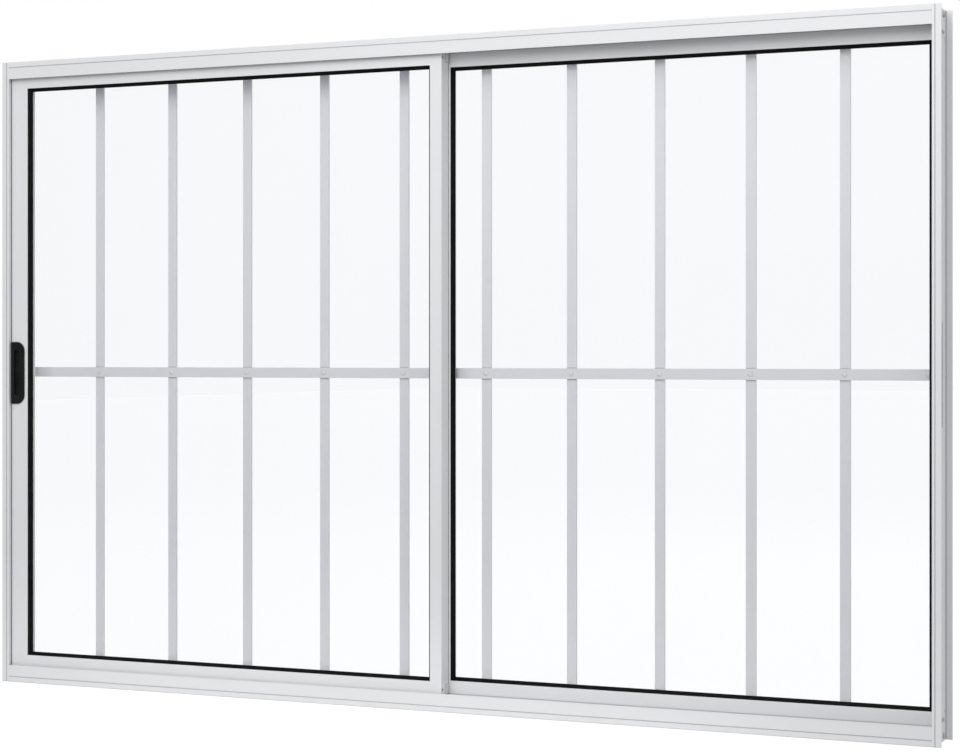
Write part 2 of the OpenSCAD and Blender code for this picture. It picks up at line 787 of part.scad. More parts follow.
latch_screw_x = (well[0] + well[1]) / 2 + 2;
latch_screw_z = latch_h / 2 - 6.5;

// D outline of the plate, straight on the jamb's side, grown inwards by inset
module latch_outline(inset) {
    r = latch_corner - inset;
    x0 = latch_x + inset;
    x1 = latch_x + latch_w - inset;
    h = latch_h / 2 - inset;
    translate([0, latch_z]) {
        rect([x0, -h], [x1 - r, h]);
        rect([x1 - r, r - h], [x1, h - r]);
        for (s = [-1, 1]) intersection() {
            translate([x1 - r, s * (h - r)]) circle(r);
            rect([x1 - r, -h], [x1, h]);
        }
    }
}

// The finger well's outline, grown by g, with rounded ends
module well_outline(g) {
    r = 3 + g;
    translate([0, latch_z]) {
        rect([well[0] - g, -well_h - g + r], [well[1] + g, well_h + g - r]);
        rect([well[0] - g + r, -well_h - g], [well[1] + g - r, well_h + g]);
        for (x = [well[0] - g + r, well[1] + g - r])
            for (z = [-well_h - g + r, well_h + g - r]) translate([x, z]) circle(r);
    }
}

module latch_housing() {
    rim = 1.6;
    recess = 1.1;
    boss_r = 3.2;
    peg_x = pivot_x - peg_arm;
    peg_way = peg_r + 0.4;
    black() difference() {
        union() {
            along_y(plate_y, leaf_set_back) latch_outline(0);
            along_y(leaf_set_back, well_y + shell) well_outline(shell);
            pin_y([pivot_x, well_y, latch_z], boss_r, hook_y[0] - 0.3 - well_y);
        }
        along_y(plate_y - eps, plate_y + recess) latch_outline(rim);
        along_y(plate_y, well_y) well_outline(0);
        pin_y([pivot_x, plate_y, latch_z], pivot_r + fit / 2, hook_y[1] - plate_y);
        along_y(well_y - eps, well_y + shell + eps)
            rect([peg_x - peg_way, latch_z - slide_travel / 2 - peg_way],
                 [peg_x + peg_way, latch_z + slide_travel / 2 + peg_way]);
        for (s = [-1, 1])
            pin_y([latch_screw_x, plate_y, latch_z + s * latch_screw_z], bar_pin_r + fit,
                  latch_proud + eps);
    }
}

module latch_screws() {
    head = [2.8, 0.9];
    black() for (s = [-1, 1]) {
        pin_y([latch_screw_x, plate_y + 1.1 - head[1], latch_z + s * latch_screw_z],
              head[0], head[1]);
        pin_y([latch_screw_x, plate_y + 1.1, latch_z + s * latch_screw_z], bar_pin_r, 9);
    }
}

module latch_pivot_pin() {
    steel() {
        pin_y([pivot_x, well_y + 0.3, latch_z], pivot_r, hook_y[1] + 0.3 - well_y - 0.3);
        pin_y([pivot_x, hook_y[1] + 0.3, latch_z], 2.8, 1.2);
    }
}

// Thumb slide, drawn at the lower end of its travel, where the latch is open
module latch_slider() {
    clear = 0.4;
    tab_h = 24;
    plate = 1.6;
    ridge = [1.2, 2.2];
    z = latch_z - slide_travel / 2;
    black() {
        along_y(well_y - 0.3 - plate, well_y - 0.3)
            rect([well[0] + clear, z - tab_h / 2], [well[1] - clear, z + tab_h / 2]);
        for (k = [-2:2])
            translate([well[0] + clear + 0.8, well_y - 0.3 - plate - ridge[1], z + k * 3 - ridge[0] / 2])
                cube([well[1] - well[0] - 2 * clear - 1.6, ridge[1], ridge[0]]);
        pin_y([pivot_x - peg_arm, well_y - 0.3, z], peg_r, hook_y[1] - well_y + 0.2);
    }
}

// Hook, drawn open: turned down by hook_angle from the angle at which it holds the keeper
module latch_hook() {
    reach_x = pivot_x - 6.3;
    arm = 2.4;
    barb = [2.3, 5];
    hub = 3.4;
    peg_slot = peg_r + 0.3;
    steel() translate([pivot_x, 0, latch_z]) rotate([0, -hook_angle, 0]) difference() {
        along_y(hook_y[0], hook_y[1]) {
            circle(hub);
            rect([-reach_x, -arm], [0, arm]);
            rect([-reach_x, 0], [-reach_x + barb[0], barb[1]]);
            rotate(-hook_angle / 2) {
                rect([-peg_arm - 4.6, -peg_slot - 1.6], [0, peg_slot + 1.6]);
            }
        }
        pin_y([0, 0, 0], pivot_r + run, frame_d);
        along_y(hook_y[0] - eps, hook_y[1] + eps) rotate(-hook_angle / 2)
            rect([-peg_arm - 2.9, -peg_slot], [-peg_arm + 1.5, peg_slot]);
    }
}

// ---- Output ----

head_track();
sill_track();
left_jamb();
right_jamb();
corner_seal_pads();
frame_corner_screws();
wall_anchor_straps();
strap_rivets();
head_pile();
sill_pile();
bump_stops();
latch_keeper();
keeper_screws();
fixed_top_rail();
fixed_bottom_rail();
fixed_meeting_stile();
fixed_side_channel();
fixed_glass();
fixed_gaskets();
fixed_setting_blocks();
fixed_leaf_screws();
fixed_leaf_packers();
interlock_pile();
for (i = [1:bar_count])
    vertical_bar(i);
tie_bar();
tie_bar_brackets();
bar_rivets();
bar_end_rivets();
sash_top_rail();
sash_bottom_rail();
sash_latch_stile();
sash_meeting_stile();
sash_glass();
sash_gaskets();
sash_setting_blocks();
sash_corner_screws();
sash_top_guides();
sash_stile_caps();
roller_housings();
roller_axles();
latch_housing();
latch_screws();
latch_pivot_pin();
roller_wheel_left();
roller_wheel_right();
latch_slider();
latch_hook();
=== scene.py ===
"""Looks of the two-leaf sliding window and of the security grille built into its frame.

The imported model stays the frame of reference. Extrusions, bars, blocks and plates keep their
own shape and get a finish and softened edges. Gaskets, panes, brushes, fasteners, stops,
rollers and the latch are built here in full and stand in for their plain nodes.
"""

import logging
import math
from dataclasses import dataclass
from enum import Enum
from typing import Any, Iterable, Sequence, Union

import bmesh
import bpy
from mathutils import Euler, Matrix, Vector


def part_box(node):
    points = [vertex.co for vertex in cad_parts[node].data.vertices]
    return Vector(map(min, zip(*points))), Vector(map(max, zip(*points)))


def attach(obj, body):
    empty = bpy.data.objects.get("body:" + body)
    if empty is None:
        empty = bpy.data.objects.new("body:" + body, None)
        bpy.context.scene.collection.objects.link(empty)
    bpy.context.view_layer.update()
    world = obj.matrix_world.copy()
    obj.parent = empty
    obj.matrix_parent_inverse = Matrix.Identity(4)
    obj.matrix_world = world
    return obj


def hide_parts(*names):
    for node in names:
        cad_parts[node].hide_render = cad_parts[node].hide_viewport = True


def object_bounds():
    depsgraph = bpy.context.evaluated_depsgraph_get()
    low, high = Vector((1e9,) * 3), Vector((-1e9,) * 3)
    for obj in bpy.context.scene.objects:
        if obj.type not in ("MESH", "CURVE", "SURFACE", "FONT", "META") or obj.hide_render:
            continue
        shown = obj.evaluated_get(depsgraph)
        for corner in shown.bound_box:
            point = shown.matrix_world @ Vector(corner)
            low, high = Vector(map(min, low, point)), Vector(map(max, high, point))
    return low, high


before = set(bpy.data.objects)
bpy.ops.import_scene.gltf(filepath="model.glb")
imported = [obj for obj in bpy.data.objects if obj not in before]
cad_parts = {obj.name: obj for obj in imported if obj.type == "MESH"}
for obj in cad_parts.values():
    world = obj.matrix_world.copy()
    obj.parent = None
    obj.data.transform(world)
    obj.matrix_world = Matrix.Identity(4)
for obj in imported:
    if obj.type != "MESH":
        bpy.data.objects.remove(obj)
CAD_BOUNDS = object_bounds()
LOG = logging.getLogger("window")
MM = 0.001
Colour = tuple[float, float, float]
Place = tuple[float, float, float]
Loop = list[Vector]


class Slot(Enum):
    """The record's material slots."""

    WHITE = "white_coating"
    GRILLE = "grille_coating"
    GLASS = "clear_glass"
    RUBBER = "black_rubber"
    STEEL = "zinc_steel"
    PILE = "pile_brush"
    NYLON = "white_nylon"
    LATCH = "black_latch_plastic"


class Body(Enum):
    """The bodies that pieces ride on."""

    FRAME = "frame"
    SASH = "sliding_sash"
    ROLLER_LEFT = "roller_left"
    ROLLER_RIGHT = "roller_right"
    SLIDE = "latch_slide_tab"


class Axis(Enum):
    """A direction across the window, by its place in a vector."""

    X = 0
    Y = 1
    Z = 2


# ---- Node trees ----


class Wire:
    """A node's output that takes part in arithmetic: each operator adds a Math node."""

    def __init__(self, tree: "Tree", socket: bpy.types.NodeSocket) -> None:
        """Keeps the socket and the tree that it belongs to."""
        self.tree = tree
        self.socket = socket

    def _math(self, operation: str, first: "Value", second: "Value") -> "Wire":
        """Adds one Math node on two values."""
        return self.tree.node("ShaderNodeMath", {"operation": operation}, {0: first, 1: second})

    def __add__(self, other: "Value") -> "Wire":
        """self + other."""
        return self._math("ADD", self, other)

    def __sub__(self, other: "Value") -> "Wire":
        """self - other."""
        return self._math("SUBTRACT", self, other)

    def __rsub__(self, other: "Value") -> "Wire":
        """other - self."""
        return self._math("SUBTRACT", other, self)

    def __mul__(self, other: "Value") -> "Wire":
        """self * other."""
        return self._math("MULTIPLY", self, other)

    def __pow__(self, other: "Value") -> "Wire":
        """self raised to other."""
        return self._math("POWER", self, other)

    __radd__ = __add__
    __rmul__ = __mul__


Value = Union[Wire, float, int, str, tuple]


class Tree:
    """A node tree that is built up one node at a time."""

    def __init__(self, tree: bpy.types.NodeTree) -> None:
        """Wraps an empty tree."""
        self.tree = tree

    @staticmethod
    def _socket(sockets: Any, key: Union[int, str]) -> bpy.types.NodeSocket:
        """Finds a socket.

        Args:
            sockets: A node's inputs or outputs.
            key: Its place, or the name of the live one.

        Returns:
            The socket.
        """
        if isinstance(key, int):
            return sockets[key]
        return next(s for s in sockets if s.enabled and key in (s.name, s.identifier))

    def node(
        self,
        kind: str,
        settings: dict[str, Any] | None = None,
        values: dict[Union[int, str], Value] | None = None,
        out: Union[int, str] = 0,
    ) -> Wire:
        """Adds a node.

        Args:
            kind: The node's type.
            settings: Its properties, set before its sockets. "stops" are a ramp's stops.
            values: What each input socket holds or is linked to, by name or place.
            out: The output that is returned.

        Returns:
            The chosen output.
        """
        made = self.tree.nodes.new(kind)
        for key, value in (settings or {}).items():
            if key == "stops":
                self._set_stops(made.color_ramp, value)
            else:
                setattr(made, key, value)
        for key, value in (values or {}).items():
            socket = self._socket(made.inputs, key)
            if isinstance(value, Wire):
                self.tree.links.new(value.socket, socket)
            else:
                socket.default_value = value
        return Wire(self, self._socket(made.outputs, out))

    @staticmethod
    def _set_stops(ramp: bpy.types.ColorRamp, stops: Sequence[tuple[float, float]]) -> None:
        """Sets a ramp's grey stops.

        Args:
            ramp: The ramp.
            stops: A (position, level) for each.
        """
        while len(ramp.elements) < len(stops):
            ramp.elements.new(1.0)
        for element, (position, level) in zip(ramp.elements, stops):
            element.position = position
            element.color = (level, level, level, 1.0)


class Shader(Tree):
    """A material's tree, on Object coordinates."""

    def __init__(self, name: str) -> None:
        """Starts an empty material.

        Args:
            name: Its name.
        """
        self.material = bpy.data.materials.new(name)
        self.material.use_nodes = True
        super().__init__(self.material.node_tree)
        self.tree.nodes.clear()
        self.place = self.node("ShaderNodeTexCoord", out="Object")

    def noise(self, scale: float, detail: float = 2.0, stretch: Vector | None = None) -> Wire:
        """Noise with so many cells to a metre.

        Args:
            scale: Cells to a metre.
            detail: Octaves.
            stretch: A factor for each axis, for a grain that runs one way.

        Returns:
            A level about 0.5.
        """
        place = self.place
        if stretch is not None:
            place = self.node(
                "ShaderNodeMapping", None, {"Vector": place, "Scale": tuple(stretch)}
            )
        return self.node(
            "ShaderNodeTexNoise", None, {"Vector": place, "Scale": scale, "Detail": detail}
        )

    def between(
        self, factor: Wire, first: Union[Colour, Wire], second: Union[Colour, Wire]
    ) -> Wire:
        """A blend of two colours.

        Args:
            factor: How far the blend has gone, from 0 to 1.
            first: The colour at 0.
            second: The colour at 1.

        Returns:
            The blended colour.
        """
        start, end = (c if isinstance(c, Wire) else (*c, 1.0) for c in (first, second))
        return self.node(
            "ShaderNodeMix",
            {"data_type": "RGBA"},
            {"Factor": factor, "A": start, "B": end},
            "Result",
        )

    def bump(self, height: Wire, depth_mm: float, strength: float = 1.0) -> Wire:
        """A normal from a height.

        Args:
            height: The height, from 0 to 1.
            depth_mm: What a height of 1 stands for.
            strength: How much of it shows.

        Returns:
            The normal.
        """
        return self.node(
            "ShaderNodeBump",
            None,
            {"Strength": strength, "Distance": depth_mm * MM, "Height": height},
        )

    def upward(self) -> Wire:
        """Finds the faces that look up.

        Returns:
            1 on them, 0 on all others.
        """
        normal = self.node("ShaderNodeTexCoord", out="Normal")
        height = self.node("ShaderNodeSeparateXYZ", None, {"Vector": normal}, "Z")
        return self.node(
            "ShaderNodeMapRange", None, {"Value": height, "From Min": 0.6, "From Max": 0.95}
        )

    def finish(self, **values: Value) -> bpy.types.Material:
        """Ends the tree in one Principled shader.

        Args:
            values: Its sockets by name, with _ for a space.

        Returns:
            The material.
        """
        sockets = {key.replace("_", " "): value for key, value in values.items()}
        shader = self.node("ShaderNodeBsdfPrincipled", None, sockets)
        self.node_to_output(shader)
        return self.material

    def node_to_output(self, shader: Wire) -> None:
        """Links a shader to the material's output."""
        exit_node = self.tree.nodes.new("ShaderNodeOutputMaterial")
        self.tree.links.new(shader.socket, exit_node.inputs["Surface"])


class Recipe(Tree):
    """A Geometry Nodes tree with named inputs, which is run on a mesh and baked."""

    def __init__(self, name: str, inputs: dict[str, str]) -> None:
        """Starts the tree.

        Args:
            name: The tree's name.
            inputs: Each input's name and socket type.
        """
        super().__init__(bpy.data.node_groups.new(name, "GeometryNodeTree"))
        face = self.tree.interface
        face.new_socket(name="Geometry", in_out="INPUT", socket_type="NodeSocketGeometry")
        self.identifiers = {
            label: face.new_socket(name=label, in_out="INPUT", socket_type=kind).identifier
            for label, kind in inputs.items()
        }
        face.new_socket(name="Geometry", in_out="OUTPUT", socket_type="NodeSocketGeometry")
        self.entry = self.tree.nodes.new("NodeGroupInput")

    def given(self, label: str) -> Wire:
        """The tree's input of that name."""
        return Wire(self, self._socket(self.entry.outputs, label))

    def end(self, geometry: Wire) -> "Recipe":
        """Ends the tree with real meshes in the material that Finish names.

        Args:
            geometry: What the tree has made.

        Returns:
            The recipe itself.
        """
        real = self.node("GeometryNodeRealizeInstances", None, {"Geometry": geometry})
        dressed = self.node(
            "GeometryNodeSetMaterial", None, {"Geometry": real, "Material": self.given("Finish")}
        )
        exit_node = self.tree.nodes.new("NodeGroupOutput")
        self.tree.links.new(dressed.socket, exit_node.inputs[0])
        return self

    def run(self, name: str, mesh: bpy.types.Mesh, values: dict[str, Any]) -> bpy.types.Object:
        """Runs the tree on a mesh.

        Args:
            name: The new object's name.
            mesh: What the tree starts from.
            values: The tree's inputs by name.

        Returns:
            An object with the result as a plain mesh.
        """
        piece = bpy.data.objects.new(name, mesh)
        bpy.context.scene.collection.objects.link(piece)
        modifier = piece.modifiers.new("recipe", "NODES")
        modifier.node_group = self.tree
        for label, value in values.items():
            modifier[self.identifiers[label]] = value
        graph = bpy.context.evaluated_depsgraph_get()
        baked = bpy.data.meshes.new_from_object(piece.evaluated_get(graph))
        piece.modifiers.clear()
        piece.data = baked
        baked.name = name
        return piece


# ---- Finishes ----


@dataclass(frozen=True)
class PowderCoat:
    """Baked powder paint: orange peel, slow changes of gloss, dust on ledges and painted shade in
    crevices.
    """

    name: str
    slot: Slot
    colour: Colour
    shade: Colour
    dust: Colour = (0.52, 0.50, 0.46)
    # Dark grey of the painted shade in crevices, grooves and joints.
    painted_crevice_shade: Colour = (0.12, 0.115, 0.11)
    crevice_mm: float = 2.0
    roughness: float = 0.36

    def material(self) -> bpy.types.Material:
        """Builds the material.

        Returns:
            The material.
        """
        s = Shader(self.name)
        peel = s.noise(520.0, 2.0)
        cloud = s.noise(9.0, 3.0)
        speck = s.node(
            "ShaderNodeValToRGB",
            {"stops": [(0.62, 0.0), (0.78, 1.0)]},
            {"Fac": s.noise(160.0, 4.0)},
        )
        # Painted shade: ambient occlusion within crevice_mm blends the paint towards the dark
        # crevice colour.
        open_air = s.node(
            "ShaderNodeAmbientOcclusion", {"samples": 8}, {"Distance": self.crevice_mm * MM}, "AO"
        )
        clean = s.between(cloud, self.shade, self.colour)
        paint = s.between(open_air ** 1.3, self.painted_crevice_shade, clean)
        settled = s.upward() * speck * 0.16
        return s.finish(
            Base_Color=s.between(settled, paint, self.dust),
            Roughness=self.roughness + 0.10 * (cloud - 0.5) + 0.22 * settled,
            Normal=s.bump(peel, 0.02, 0.5),
            Coat_Weight=0.12,
            Coat_Roughness=0.18,
        )


@dataclass(frozen=True)
class GasketRubber:
    """Extruded black rubber: dull, with fine lines of the die and a little dust."""

    name: str
    slot: Slot
    colour: Colour
    dust: Colour

    def material(self) -> bpy.types.Material:
        """Builds the material.

        Returns:
            The material.
        """
        s = Shader(self.name)
        grain = s.noise(2600.0, 3.0)
        bloom = s.noise(70.0, 4.0)
        colour = s.between(bloom ** 3.0, self.colour, self.dust)
        return s.finish(
            Base_Color=colour,
            Roughness=0.52 + 0.25 * (bloom - 0.5),
            Normal=s.bump(grain, 0.03, 0.6),
            Specular_IOR_Level=0.08,
        )


@dataclass(frozen=True)
class MouldedPlastic:
    """Moulded plastic with a fine eroded grain and a satin sheen."""

    name: str
    slot: Slot
    colour: Colour
    worn: Colour
    roughness: float
    gloss: float = 0.5
    grain_mm: float = 0.35

    def material(self) -> bpy.types.Material:
        """Builds the material.

        Returns:
            The material.
        """
        s = Shader(self.name)
        cells = s.node(
            "ShaderNodeTexVoronoi",
            {"feature": "SMOOTH_F1"},
            {"Vector": s.place, "Scale": 1.0 / (self.grain_mm * MM)},
            "Distance",
        )
        rubbed = s.noise(45.0, 5.0)
        return s.finish(
            Base_Color=s.between(rubbed, self.colour, self.worn),
            Roughness=self.roughness + 0.18 * (rubbed - 0.5),
            Normal=s.bump(cells, 0.04, 0.35),
            Specular_IOR_Level=self.gloss,
        )


@dataclass(frozen=True)
class ZincSteel:
    """Zinc plated steel: soft spangle, fine scratches and dull patches."""

    name: str
    slot: Slot
    colour: Colour
    dull: Colour

    def material(self) -> bpy.types.Material:
        """Builds the material.

        Returns:
            The material.
        """
        s = Shader(self.name)
        spangle = s.node(
            "ShaderNodeTexVoronoi", None, {"Vector": s.place, "Scale": 210.0}, "Color"
        )
        level = s.node("ShaderNodeSeparateColor", None, {"Color": spangle}, "Red")
        scratch = s.noise(900.0, 2.0, Vector((1.0, 1.0, 0.06)))
        return s.finish(
            Base_Color=s.between(level * 0.7 + scratch * 0.3, self.dull, self.colour),
            Metallic=1.0,
            Roughness=0.30 + 0.14 * level + 0.10 * (scratch - 0.5),
            Normal=s.bump(scratch, 0.01, 0.4),
        )


@dataclass(frozen=True)
class ClearPane:
    """Float glass: nearly clear straight on, with a painted reflection (a light grey and more
    cover) where it is seen along its face.
    """

    name: str
    slot: Slot
    tint: Colour
    painted_reflection: Colour
    haze: float

    def material(self) -> bpy.types.Material:
        """Builds the material.

        Returns:
            The material.
        """
        s = Shader(self.name)
        film = s.noise(6.0, 5.0)
        # Painted reflection: towards grazing views the colour turns light grey and the alpha rises.
        graze = s.node("ShaderNodeFresnel", None, {"IOR": 1.46})
        return s.finish(
            Base_Color=s.between(graze ** 0.5, self.tint, self.painted_reflection),
            Roughness=0.03 + 0.04 * film,
            IOR=1.46,
            Alpha=self.haze + 0.01 * (film - 0.5) + 0.30 * graze,
        )


@dataclass(frozen=True)
class BrushPile:
    """Fibres of a draught brush, each tuft a little lighter or darker."""

    name: str
    slot: Slot
    light: Colour
    dark: Colour

    def material(self) -> bpy.types.Material:
        """Builds the material.

        Returns:
            The material.
        """
        s = Shader(self.name)
        fibre = s.noise(1500.0, 3.0)
        return s.finish(
            Base_Color=s.between(fibre, self.dark, self.light),
            Roughness=0.82 + 0.2 * (fibre - 0.5),
            Normal=s.bump(fibre, 0.05, 0.6),
            Sheen_Weight=0.25,
        )


class Finishes:
    """Every finish of the window, built once."""

    def __init__(self) -> None:
        """Builds the materials and lists them by slot."""
        makers = [
            PowderCoat(
                "white_powder_coat",
                Slot.WHITE,
                colour=(0.790, 0.800, 0.815),
                shade=(0.765, 0.777, 0.795),
            ),
            # The grille has the frame's white paint; this copy is lighter as painted light, making
            # up for the light that the panes keep from the bars.
            PowderCoat(
                "grille_powder_coat",
                Slot.GRILLE,
                colour=(0.830, 0.830, 0.835),
                shade=(0.800, 0.800, 0.808),
            ),
            GasketRubber(
                "gasket_rubber",
                Slot.RUBBER,
                colour=(0.003, 0.003, 0.0035),
                dust=(0.018, 0.018, 0.0175),
            ),
            MouldedPlastic(
                "latch_plastic",
                Slot.LATCH,
                colour=(0.007, 0.007, 0.0075),
                worn=(0.014, 0.014, 0.0145),
                roughness=0.40,
                gloss=0.15,
            ),
            MouldedPlastic(
                "moulded_nylon",
                Slot.NYLON,
                colour=(0.74, 0.73, 0.69),
                worn=(0.66, 0.65, 0.60),
                roughness=0.46,
            ),
            ZincSteel(
                "zinc_plated_steel",
                Slot.STEEL,
                colour=(0.66, 0.67, 0.69),
                dull=(0.46, 0.47, 0.49),
            ),
            ClearPane(
                "float_glass",
                Slot.GLASS,
                tint=(0.18, 0.34, 0.62),
                painted_reflection=(0.80, 0.80, 0.80),
                haze=0.032,
            ),
            BrushPile(
                "brush_pile",
                Slot.PILE,
                light=(0.40, 0.41, 0.43),
                dark=(0.16, 0.165, 0.175),
            ),
        ]
        self.by_slot = {maker.slot: maker.material() for maker in makers}

    def __getitem__(self, slot: Slot) -> bpy.types.Material:
        """The material of a slot."""
        return self.by_slot[slot]


# ---- Mesh work ----


@dataclass(frozen=True)
class Extent:
    """The box that a solid fills."""

    low: Vector
    high: Vector

    @property
    def middle(self) -> Vector:
        """The box's centre."""
        return (self.low + self.high) / 2

    @property
    def size(self) -> Vector:
        """The box's sides."""
        return self.high - self.low

    @classmethod
    def of(cls, node: str) -> "Extent":
        """The box of a whole node."""
        return cls(*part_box(node))

    @classmethod
    def solids(cls, node: str) -> list["Extent"]:
        """Finds the separate solids of a node.

        Args:
            node: Its name.

        Returns:
            The box of each solid, from left to right and then upwards.
        """
        copy = bmesh.new()
        copy.from_mesh(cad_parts[node].data)
        bmesh.ops.remove_doubles(copy, verts=copy.verts, dist=1e-6)
        seen: set[bmesh.types.BMVert] = set()
        found = []
        for start in copy.verts:
            if start in seen:
                continue
            group, reached = [start], {start}
            for vert in group:
                for edge in vert.link_edges:
                    other = edge.other_vert(vert)
                    if other not in reached:
                        reached.add(other)
                        group.append(other)
            seen |= reached
            points = [v.co for v in group]
            low = Vector(min(p[k] for p in points) for k in range(3))
            high = Vector(max(p[k] for p in points) for k in range(3))
            found.append(cls(low, high))
        copy.free()
        return sorted(found, key=lambda e: (round(e.low.x, 5), round(e.low.z, 5)))


class Shell:
    """A mesh made by joining closed loops of points, all with the same count."""

    def __init__(self) -> None:
        """Starts an empty mesh."""
        self.bm = bmesh.new()

    def skin(self, loops: Sequence[Loop], ring: bool = False) -> "Shell":
        """Joins each loop to the next.

        Args:
            loops: The loops in order.
            ring: True to join the last to the first, False to close both ends with a face.

        Returns:
            The shell itself.
        """
        rows = [[self.bm.verts.new(p) for p in loop] for loop in loops]
        pairs = list(zip(rows, rows[1:])) + ([(rows[-1], rows[0])] if ring else [])
        for a, b in pairs:
            for k in range(len(a)):
                n = (k + 1) % len(a)
                self.bm.faces.new((a[k], a[n], b[n], b[k]))
        if not ring:
            self.bm.faces.new(rows[0])
            self.bm.faces.new(rows[-1])
        return self

    def block(self, low: Vector, high: Vector, bevel: float) -> "Shell":
        """Adds a box with rounded edges.

        Args:
            low: Its lowest corner.
            high: Its highest corner.
            bevel: The width that its edges lose.

        Returns:
            The shell itself.
        """
        made = bmesh.ops.create_cube(self.bm, size=1.0)
        for vert in made["verts"]:
            vert.co = Vector(
                low[k] + (vert.co[k] + 0.5) * (high[k] - low[k]) for k in range(3)
            )
        corners = set(made["verts"])
        edges = [e for e in self.bm.edges if e.verts[0] in corners]
        bmesh.ops.bevel(
            self.bm, geom=edges, offset=bevel, segments=2, profile=0.6, affect="EDGES",
            clamp_overlap=True,
        )
        return self

    def mesh(self, name: str, material: bpy.types.Material, angle: float = 32.0) -> bpy.types.Mesh:
        """Ends as a mesh with its faces outwards.

        Args:
            name: The mesh's name.
            material: Its finish.
            angle: Edges under this many degrees are smooth.

        Returns:
            The mesh.
        """
        bmesh.ops.recalc_face_normals(self.bm, faces=self.bm.faces)
        mesh = bpy.data.meshes.new(name)
        self.bm.to_mesh(mesh)
        self.bm.free()
        mesh.polygons.foreach_set("use_smooth", [True] * len(mesh.polygons))
        mesh.set_sharp_from_angle(angle=math.radians(angle))
        mesh.materials.append(material)
        return mesh

    def piece(
        self, name: str, material: bpy.types.Material, angle: float = 32.0
    ) -> bpy.types.Object:
        """Ends as an object in the scene.

        Args:
            name: The object's name.
            material: Its finish.
            angle: Edges under this many degrees are smooth.

        Returns:
            The object.
        """
        made = bpy.data.objects.new(name, self.mesh(name, material, angle))
        bpy.context.scene.collection.objects.link(made)
        return made


def lathe(profile: Sequence[tuple[float, float]], count: int) -> list[Loop]:
    """Loops round the Z axis.

    Args:
        profile: A (radius, height) for each loop.
        count: Points in a loop.

    Returns:
        The loops, in the order of the profile.
    """
    turns = [math.tau * k / count for k in range(count)]
    return [
        [Vector((r * math.cos(t), r * math.sin(t), h)) for t in turns] for r, h in profile
    ]


def turned(loops: Sequence[Loop], axis: Axis, place: Vector) -> list[Loop]:
    """Turns loops that are drawn up the Z axis.

    Args:
        loops: The loops.
        axis: The axis that they then follow.
        place: Where their origin goes.

    Returns:
        The turned loops.
    """
    turn = {
        Axis.X: Euler((0.0, math.pi / 2, 0.0)),
        Axis.Y: Euler((-math.pi / 2, 0.0, 0.0)),
        Axis.Z: Euler((0.0, 0.0, 0.0)),
    }[axis].to_matrix()
    return [[place + turn @ p for p in loop] for loop in loops]


def rounded(
    low: tuple[float, float],
    high: tuple[float, float],
    radii: Sequence[float],
    y: float,
    arc: int = 8,
    side: int = 10,
) -> Loop:
    """A rounded rectangle in x and z, so sampled that two of them join corner to corner.

    Args:
        low: Its lowest x and z.
        high: Its highest x and z.
        radii: The radius of the low left, low right, high right and high left corner.
        y: Its depth.
        arc: Steps round a corner.
        side: Steps along a side.

    Returns:
        Points, in turn round the outline.
    """
    signs = [(-1, -1), (1, -1), (1, 1), (-1, 1)]
    corners = [(low[0], low[1]), (high[0], low[1]), (high[0], high[1]), (low[0], high[1])]
    arcs = []
    for k, ((x, z), (sx, sz), r) in enumerate(zip(corners, signs, radii)):
        start = math.pi + k * math.pi / 2
        centre = (x - sx * r, z - sz * r)
        arcs.append(
            [
                Vector((
                    centre[0] + r * math.cos(start + math.pi / 2 * n / arc),
                    y,
                    centre[1] + r * math.sin(start + math.pi / 2 * n / arc),
                ))
                for n in range(arc + 1)
            ]
        )
    points: Loop = []
    for here, after in zip(arcs, arcs[1:] + arcs[:1]):
        points += here
        points += [here[-1].lerp(after[0], n / side) for n in range(1, side)]
    return points


def as_template(mesh: bpy.types.Mesh) -> bpy.types.Object:
    """Makes an object for a recipe to repeat, which is removed once the recipe has run.

    Args:
        mesh: Its mesh.

    Returns:
        The object.
    """
    made = bpy.data.objects.new("template", mesh)
    bpy.context.scene.collection.objects.link(made)
    return made


def joined(name: str, parts: Sequence[bpy.types.Object]) -> bpy.types.Object:
    """Joins objects that share a material.

    Args:
        name: The whole's name.
        parts: The objects. The first becomes the whole, and the others are removed.

    Returns:
        The whole.
    """
    first, rest = parts[0], parts[1:]
    whole = bmesh.new()
    for part in parts:
        whole.from_mesh(part.data)
    whole.to_mesh(first.data)
    whole.free()
    for part in rest:
        bpy.data.objects.remove(part)
    first.name = name
    first.data.name = name
    return first


